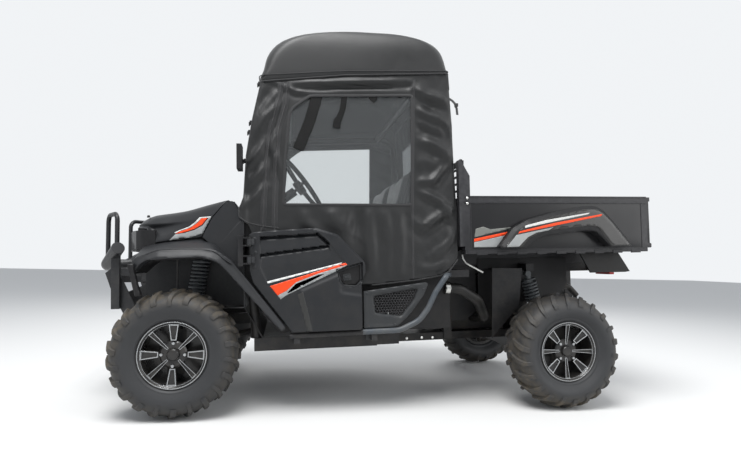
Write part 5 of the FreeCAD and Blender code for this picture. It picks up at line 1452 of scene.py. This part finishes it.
def fender_leg_bmesh():
    return moulded(rounded(FENDER_LEG), 757.0, 5.0, cell=7.0, back=726.0)


def side_honeycomb_bmesh():
    return honeycomb_bmesh(rounded(SIDE_GRILLE), 15.0, 1.5, 692.0)


def bed_arch_bmesh():
    return moulded(rounded(BED_FLARE), 754.0, 4.0, slopes=((BED_BROW, 20.0, 26.0),), cell=9.0, back=690.0)


def bed_plate_bmesh():
    return moulded(rounded(BED_PLATE), 757.5, 3.0, slopes=((BED_BROW, 20.0, 30.0),), cell=9.0, back=744.0)


def bed_panel_bmesh():
    return moulded(rounded(BED_PANEL), 692.0, 1.5, cell=40.0, back=689.5)


def inner_copy(node, limit):
    """A node's solid without what stands further out than limit on either side."""
    bm = solid_bmesh(node)
    bmesh.ops.scale(bm, vec=(1 / MM,) * 3, verts=bm.verts)
    for sign in (1, -1):
        cut_off(bm, (0, sign * limit, 0), (0, sign, 0))
    return bm


class VEHICLE_OT_panels(bpy.types.Operator):
    """Hood, fenders, half doors and side panels, with their stripes, bolts, and the painted highlight and
    painted shade on the doors
    """
    bl_idname = "vehicle.panels"
    bl_label = "Body panels"

    def execute(self, context):
        doors = both(door_bmesh, "half_door", "door_%s", "body_plastic", "body_plastic", smooth=28)
        for piece, side in zip(doors, ("left", "right")):
            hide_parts("door_" + side)
        # The door films hold a painted highlight on the lower crease and painted shade in the handle recess.
        films(DOOR_FILMS_AND_PAINTED_LIGHT, doors[0], "door_stripe", "door_%s", fallback=DOOR_FACE - 5)
        both(latch_bmesh, "door_latch", "door_%s", "panel_plastic", "frame_steel", bevel=1.0)

        hood = add_piece("hood_lid", hood_bmesh(), "hood", "body_plastic", "body_plastic", smooth=38,
                         levels=1, recalculate=False)
        thickened(hood, 5.0)
        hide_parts("hood")
        films(HOOD_FILMS, hood, "hood_stripe", "hood", lift=1.4, fallback=600)
        knob = bmesh.new()
        for side in (1, -1):
            bmesh.ops.create_cone(knob, cap_ends=True, segments=12, radius1=9, radius2=6, depth=12,
                                  matrix=Matrix.Translation((1252, side * 470, 1056)))
            turned(knob, [(0, -14), (6.5, -14), (6.5, 14), (0, 14)], (814, side * 250, 1132), steps=20,
                   closed=False)
            box(knob, (814, 850), (side * 250 - 14, side * 250 + 14), (1128, 1135))
        add_piece("hood_fittings", knob, "hood", "black_plastic", "black_plastic", bevel=1.0)

        skin = both(fender_skin_bmesh, "fender_skin", "chassis", "body_plastic", "body_plastic", smooth=45,
                    levels=1, recalculate=False)
        for piece in skin:
            thickened(piece, 4.0)
        both(front_flare_bmesh, "front_flare", "chassis", "body_plastic", "flare_plastic", smooth=60)
        both(fender_leg_bmesh, "fender_leg", "chassis", "black_plastic", "flare_plastic", smooth=30)
        liner = add_piece("wheel_liner", inner_copy("front_fenders", 671.0), "chassis", "black_plastic",
                          "black_plastic", place=GROUND, recalculate=False)
        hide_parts("front_fenders")

        panels = both(side_panel_bmesh, "side_grille_panel", "chassis", "panel_plastic", "body_plastic",
                      smooth=30)
        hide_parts("side_panels")
        for piece in both(side_honeycomb_bmesh, "side_honeycomb", "chassis", "grille_plastic",
                          "grille_plastic", smooth=180, recalculate=False):
            thickened(piece, 7.0)
        cowl = add_piece("cowl_shell", cowl_bmesh(), "chassis", "body_plastic", "body_plastic", bevel=2.0,
                         smooth=30)
        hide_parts("cowl")
        inner = bmesh.new()
        # walls of the wheel well under the hood's edge
        for x, y, top in ((960, 622, 936), (1000, 610, 934), (1060, 592, 930), (1117, 576, 926),
                          (1170, 570, 919)):
            box(inner, (x - 31, x + 31), (y - 5, y), (870, top))
        # shelf over the lamp, and the pod around it
        box(inner, (1186, 1288), (346, 535), (976, 990))
        pod = ((1190, 560), (1190, 592), (1240, 590), (1266, 576), (1292, 546), (1298, 500), (1240, 520))
        extruded(inner, polygon(inner, pod, lambda x, y: (x, y, 866)), (0, 0, 110))
        # sheets behind the fender's leg, the honeycomb, the cab's rear corner and the rear wheel
        slab_y(inner, ((770, 735), (744, 800), (690, 800), (480, 448), (560, 430), (640, 520)), 630, 636)
        slab_y(inner, rounded(((-22, 414), (-22, 738), (-378, 738), (-378, 414))), 556, 560)
        slab_y(inner, ((-395, 800), (-640, 800), (-640, 470), (-560, 420), (-395, 416)), 300, 304)
        slab_y(inner, ((-640, 470), (-640, 800), (-1240, 800), (-1240, 640), (-1190, 560), (-900, 520)), 330,
               334)
        both_sides(inner)
        add_piece("inner_shields", inner, "chassis", "black_plastic", "black_plastic", bevel=1.0)
        return {"FINISHED"}


class VEHICLE_OT_bed(bpy.types.Operator):
    """Bed flares, side stripes with a painted reflection, hem, bolts and latch rod"""
    bl_idname = "vehicle.bed"
    bl_label = "Load bed"

    def execute(self, context):
        flares = both(bed_arch_bmesh, "bed_arch", "bed", "black_plastic", "flare_plastic", smooth=30)
        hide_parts("bed_flares")
        plates = both(bed_plate_bmesh, "bed_arch_plate", "bed", "arch_gloss", "flare_plastic", smooth=30)
        films(BED_FLARE_FILMS, plates[0], "arch_stripe", "bed", lift=1.4, cell=5.0, fallback=754)
        both(bed_panel_bmesh, "bed_side_panel", "bed", "bed_gloss", "bed_steel")
        # The bed side films include a painted reflection.
        films(BED_SIDE_FILMS_AND_PAINTED_REFLECTION, "bed_tub", "bed_stripe", "bed", lift=2.8, fallback=690)
        trim = bmesh.new()
        # lower rail with its folded tabs, two lines along the upper rail, seams at the posts, inner beam
        box(trim, (-1549, -431), (640, 690), (826, 848))
        for x in range(-1500, -450, 118):
            box(trim, (x, x + 60), (684, 693), (820, 838))
        box(trim, (-1549, -429), (690, 694), (1104, 1112))
        box(trim, (-1549, -429), (690, 693), (1138, 1146))
        for x in (-466, -1512):
            box(trim, (x - 2, x + 2), (690, 693), (850, 1106))
        box(trim, (-1540, -440), (306, 326), (764, 848))
        both_sides(trim)
        add_piece("bed_hem", trim, "bed", "bed_steel", "bed_steel", bevel=1.5)
        bolts = bmesh.new()
        for z in (1133, 1104):
            dome_bolt(bolts, (-446, 694, z), 8.0, 5.0, 14)
        both_sides(bolts)
        add_piece("bed_bolts", bolts, "bed", "bolt_steel", "bed_steel")
        rod = bmesh.new()
        tube(rod, [(-452, 575, 824), (-458, 575, 800), (-474, 575, 776), (-575, 575, 722)], 5.5,
             bends=[0, 18, 18, 0], sides=10)
        both_sides(rod)
        add_piece("bed_latch_rod", rod, "bed", "bolt_steel", "bed_steel")
        return {"FINISHED"}


SPRINGS = (
    # foot over the ground and head over the level frame, mean radius, turns of wire
    ((1052.5, 392, 478), (984.7, 385, 863), 40.0, 13),
    ((-988.5, 396, 485), (-934.6, 400, 703), 39.0, 9),
)
SEAT_PADS = (
    # name, side outline, how far the cover may swell in metres
    ("seat_cushion",
     ((-146, 752), (326, 752, 18), (392, 796, 26), (404, 846, 22), (326, 874, 50), (-146, 838, 26)), 0.024),
    ("seat_back",
     ((-62, 858), (-150, 856, 16), (-262, 1318, 34), (-216, 1337, 26), (-166, 1298, 34), (-66, 902, 50)),
     0.022),
)
SEAT_SIDES = ((60, 540), (-540, 40))


def coil_over(bm, foot, head, radius, turns):
    """Damper, seats and spring between two eyes, in ground millimetres."""
    foot, head = Vector(foot), Vector(head)
    way = (head - foot).normalized()
    turn = way.to_track_quat("Z", "Y").to_matrix().to_4x4()
    length = (head - foot).length
    for low, high, wide in ((18, length - 18, 9), (18, length * 0.52, 24), (34, 40, radius + 4),
                            (length - 40, length - 34, radius + 4), (length - 34, length - 10, 20)):
        cylinder(bm, Matrix.Translation(foot + way * (low + high) / 2) @ turn, wide, high - low, 24)
    for eye in (foot, head):
        cylinder(bm, Matrix.Translation(eye) @ Matrix.Rotation(math.pi / 2, 4, "X"), 18, 36, 20)
    start = foot + way * 44
    wire = bmesh.ops.create_circle(bm, cap_ends=False, segments=8, radius=7.0,
                                   matrix=Matrix.Translation(start) @ turn
                                   @ Matrix.Translation((radius, 0, 0))
                                   @ Matrix.Rotation(math.pi / 2, 4, "X"))["verts"]
    edges = list({e for v in wire for e in v.link_edges})
    bmesh.ops.spin(bm, geom=wire + edges, cent=start, axis=way, dvec=way * ((length - 88) / turns / 20),
                   angle=2 * math.pi * turns, steps=turns * 20, use_duplicate=False)


def guard_bmesh():
    """Bowed bumper tube with flat ends, two hoops, uprights and the plates to the frame."""
    bm = bmesh.new()
    tube(bm, [(1428, 385, 894), (1546, 190, 802), (1546, -190, 802), (1428, -385, 894)], 34,
         bends=[0, 90, 90, 0], sides=32)
    half = bmesh.new()
    tube(half, [(1446, 346, 862), (1444, 346, 1084), (1530, 214, 1084), (1534, 214, 800)], 12.5,
         bends=[0, 42, 42, 0], sides=16)
    box(half, (1434, 1478), (318, 342), (560, 880))
    slab_y(half, ((1518, 757), (1478, 634), (1392, 470), (1340, 522), (1426, 716), (1478, 790)), 300, 308)
    slab_y(half, ((1478, 600), (1440, 640), (1300, 700), (1300, 500), (1390, 470)), 200, 212)
    box(half, (1300, 1484), (198, 214), (700, 740))
    box(half, (1300, 1440), (300, 330), (742, 782))
    both_sides(half)
    put_in(bm, half)
    box(bm, (1446, 1476), (-338, 338), (600, 640))
    return bm


CLOTH_FRAMES = 20
SEAT_CELL = 0.011  # metres


def swollen(piece, limit):
    """Blow a closed cover up from inside, with no point moved further than limit in metres."""
    remesh = piece.modifiers.new("even mesh", "REMESH")
    remesh.mode = "VOXEL"
    remesh.voxel_size = SEAT_CELL
    applied(piece)
    rest = [v.co.copy() for v in piece.data.vertices]
    cloth = piece.modifiers.new("cover", "CLOTH")
    cloth.settings.use_pressure = True
    cloth.settings.uniform_pressure_force = 4.0
    cloth.settings.quality = 4
    cloth.settings.effector_weights.gravity = 0.0
    cloth.point_cache.frame_end = CLOTH_FRAMES
    for frame_number in range(1, CLOTH_FRAMES + 1):
        bpy.context.scene.frame_set(frame_number)
    applied(piece)
    for v, start in zip(piece.data.vertices, rest):
        shift = v.co - start
        if shift.length > limit:
            v.co = start + shift * (limit / shift.length)
    bpy.context.scene.frame_set(1)


def applied(piece):
    """Bake a piece's modifiers into its mesh."""
    view = bpy.context.evaluated_depsgraph_get()
    mesh = bpy.data.meshes.new_from_object(piece.evaluated_get(view))
    piece.modifiers.clear()
    old = piece.data
    piece.data = mesh
    bpy.data.meshes.remove(old)


class VEHICLE_OT_trim(bpy.types.Operator):
    """Guard, coil overs, duct clamp, sill bolts and padded seats"""
    bl_idname = "vehicle.trim"
    bl_label = "Guard, springs and seats"

    def execute(self, context):
        guard = add_piece("guard", guard_bmesh(), "chassis", "guard_steel", "guard_steel", bevel=1.5,
                          smooth=40)
        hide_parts("front_guard")
        rail = bmesh.new()
        tube(rail, [(146, 700, 431), (-52, 700, 432), (-158, 700, 478), (-208, 700, 540), (-254, 700, 628),
                    (-312, 700, 708), (-352, 630, 716)], 15, bends=[0, 120, 120, 120, 120, 24, 0], sides=20)
        both_sides(rail)
        rail = add_piece("sill_guard_tube", rail, "chassis", "sill_guard_paint", "guard_steel", smooth=50)
        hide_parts("sill_guards")
        step = bmesh.new()
        tube(step, [(520, 700, 425), (146, 700, 430)], 14, bends=[0, 0], sides=20)
        for x in (470, 70):
            box(step, (x, x + 30), (636, 704), (384, 424))
        both_sides(step)
        add_piece("sill_guard_front", step, "chassis", "frame_steel", "guard_steel", smooth=50)
        coils = bmesh.new()
        to_ground = GROUND.inverted() @ LEVEL
        for foot, head, radius, turns in SPRINGS:
            coil_over(coils, foot, to_ground @ Vector(head), radius, turns)
        both_sides(coils)
        springs = add_piece("coil_springs", coils, "chassis", "spring_steel", "spring_steel", place=GROUND,
                            smooth=50)
        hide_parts("coil_overs")
        clamp = bmesh.new()
        turned(clamp, [(33, -13), (36, -13), (36, 13), (33, 13)], (0, 0, 0), steps=32)
        bmesh.ops.transform(clamp, verts=clamp.verts,
                            matrix=Matrix.Translation((-362, 560, 639))
                            @ Matrix.Rotation(math.pi / 2, 4, "Z"))
        box(clamp, (-374, -350), (590, 604), (632, 646))
        add_piece("duct_clamp", clamp, "chassis", "chrome", "hose_rubber", bevel=0.8)
        bolts = bmesh.new()
        for x, z in ((-103, 378), (-187, 379), (-247, 377)):
            dome_bolt(bolts, (x, 640, z), 7.5, 4.0)
        both_sides(bolts)
        add_piece("sill_bolts", bolts, "chassis", "bolt_steel", "frame_steel")
        rod = bmesh.new()
        upright_rod(rod, 1096, 520, (645, 835), 5, 12)
        both_sides(rod)
        add_piece("wheel_well_rod", rod, "chassis", "arm_steel", "arm_steel")

        first = None
        for name, outline, limit in SEAT_PADS:
            bm = bmesh.new()
            slab_y(bm, rounded(outline), 66, 534)
            left = add_piece(name + "_left", bm, "chassis", "seat_vinyl", "seat_vinyl", bevel=16.0,
                             segments=3, smooth=180)
            swollen(left, limit)
            left.data.shade_smooth()
            applied(left)
            right = bpy.data.objects.new(name + "_right", left.data.copy())
            context.scene.collection.objects.link(right)
            (l0, l1), (r0, r1) = SEAT_SIDES
            for v in right.data.vertices:
                v.co.y = (r0 + (v.co.y / MM - l0) / (l1 - l0) * (r1 - r0)) * MM
            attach(right, "chassis")
            for pad in (left, right):
                smooth = pad.modifiers.new("smooth surface", "SUBSURF")
                smooth.levels = smooth.render_levels = 1
            first = first or left
            seam = bmesh.new()
            for y0, y1 in SEAT_SIDES:
                for y in (y0 + 3, y1 - 3):
                    swept(seam, [(x, y, z) for x, z in rounded(outline)], cord_section(4.0), (0, 1, 0),
                          closed=True)
            add_piece(name + "_piping", seam, "chassis", "seat_vinyl", "seat_vinyl", smooth=60)
        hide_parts("seats")
        return {"FINISHED"}


# Camera of the photograph: place in metres, then yaw, pitch and roll in radians.
CAMERA_PLACE, CAMERA_TURN = (0.574, 3.296, 0.783), (-0.173, 0.050, 0.022)
# Sensor width in millimetres, and the focal length as a share of it
SENSOR, FOCAL_SHARE = 36.0, 501.9 / 741


class VEHICLE_OT_stage(bpy.types.Operator):
    """Pale floor, soft light and the camera at the photograph's angle"""
    bl_idname = "vehicle.stage"
    bl_label = "Stage"

    def execute(self, context):
        scene = context.scene
        bm = bmesh.new()
        bmesh.ops.create_grid(bm, x_segments=1, y_segments=1, size=30.0)
        mesh = bpy.data.meshes.new("floor")
        bm.to_mesh(mesh)
        bm.free()
        floor = bpy.data.objects.new("floor", mesh)
        scene.collection.objects.link(floor)
        material = bpy.data.materials.new("pale floor")
        material.use_nodes = True
        feed_all(material.node_tree, material.node_tree.nodes["Principled BSDF"],
                 {"Base Color": (0.74, 0.74, 0.73), "Roughness": 0.9})
        mesh.materials.append(material)
        world = bpy.data.worlds.new("studio")
        scene.world = world
        world.use_nodes = True
        tree = world.node_tree
        sky = tree.nodes["Background"]
        feed_all(tree, sky, {"Color": (0.82, 0.86, 0.92), "Strength": 0.6})
        pale = add_node(tree, "Background", Color=(0.88, 0.90, 0.92), Strength=1.0)
        rays = add_node(tree, "LightPath").outputs
        seen = math_node(tree, "ADD", rays["Is Camera Ray"], rays["Is Glossy Ray"], clamp=True)
        seen = math_node(tree, "ADD", seen, rays["Is Transmission Ray"], clamp=True)
        show_mixed(tree, seen, sky, pale, "World Output")
        # name, place, point it faces, size, watts
        for name, place, target, size, power in (
                ("key light", (1.2, 2.6, 5.8), (0, 0.2, 0.9), 3.2, 420),
                ("fill light", (-4.5, 3.6, 2.6), (0, 0, 0.8), 3.5, 90),
                ("back light", (-1.0, -5.0, 4.5), (0, 0, 1.0), 4.0, 160)):
            lamp = bpy.data.lights.new(name, "AREA")
            lamp.size = size
            lamp.energy = power
            holder = bpy.data.objects.new(name, lamp)
            holder.location = place
            holder.rotation_euler = (Vector(target) - Vector(place)).to_track_quat("-Z", "Y").to_euler()
            scene.collection.objects.link(holder)
        yaw, pitch, roll = CAMERA_TURN
        forward = Vector((math.sin(yaw) * math.cos(pitch), -math.cos(yaw) * math.cos(pitch), math.sin(pitch)))
        right = Vector((-math.cos(yaw), -math.sin(yaw), 0))
        up = right.cross(forward)
        level = right * math.cos(roll) + up * math.sin(roll)
        upright = up * math.cos(roll) - right * math.sin(roll)
        camera = bpy.data.objects.new("camera", bpy.data.cameras.new("camera"))
        camera.data.sensor_width = SENSOR
        camera.data.lens = SENSOR * FOCAL_SHARE
        camera.matrix_world = (Matrix.Translation(CAMERA_PLACE)
                               @ Matrix((level, upright, -forward)).transposed().to_4x4())
        scene.collection.objects.link(camera)
        scene.camera = camera
        scene.view_settings.view_transform = "Standard"
        return {"FINISHED"}


OPERATORS = (VEHICLE_OT_frame, VEHICLE_OT_wheels, VEHICLE_OT_panels, VEHICLE_OT_bed, VEHICLE_OT_trim,
             VEHICLE_OT_cab, VEHICLE_OT_stage)


class VEHICLE_PT_parts(bpy.types.Panel):
    """Finishes, and a button for each group of pieces"""
    bl_idname = "VEHICLE_PT_parts"
    bl_label = "Utility vehicle"
    bl_space_type = "VIEW_3D"
    bl_region_type = "UI"
    bl_category = "Vehicle"

    def draw(self, context):
        finish = finish_of()
        for name in VehicleFinish.__annotations__:
            self.layout.prop(finish, name)
        for operator in OPERATORS:
            self.layout.operator(operator.bl_idname)


CLASSES = (VehicleFinish, *OPERATORS, VEHICLE_PT_parts)


def register():
    for cls in CLASSES:
        bpy.utils.register_class(cls)
    bpy.types.Scene.vehicle_finish = bpy.props.PointerProperty(type=VehicleFinish)


def unregister():
    del bpy.types.Scene.vehicle_finish
    for cls in reversed(CLASSES):
        bpy.utils.unregister_class(cls)


def main():
    register()
    build_materials()
    for operator in OPERATORS:
        group, call = operator.bl_idname.split(".")
        getattr(getattr(bpy.ops, group), call)()


if __name__ == "__main__":
    main()
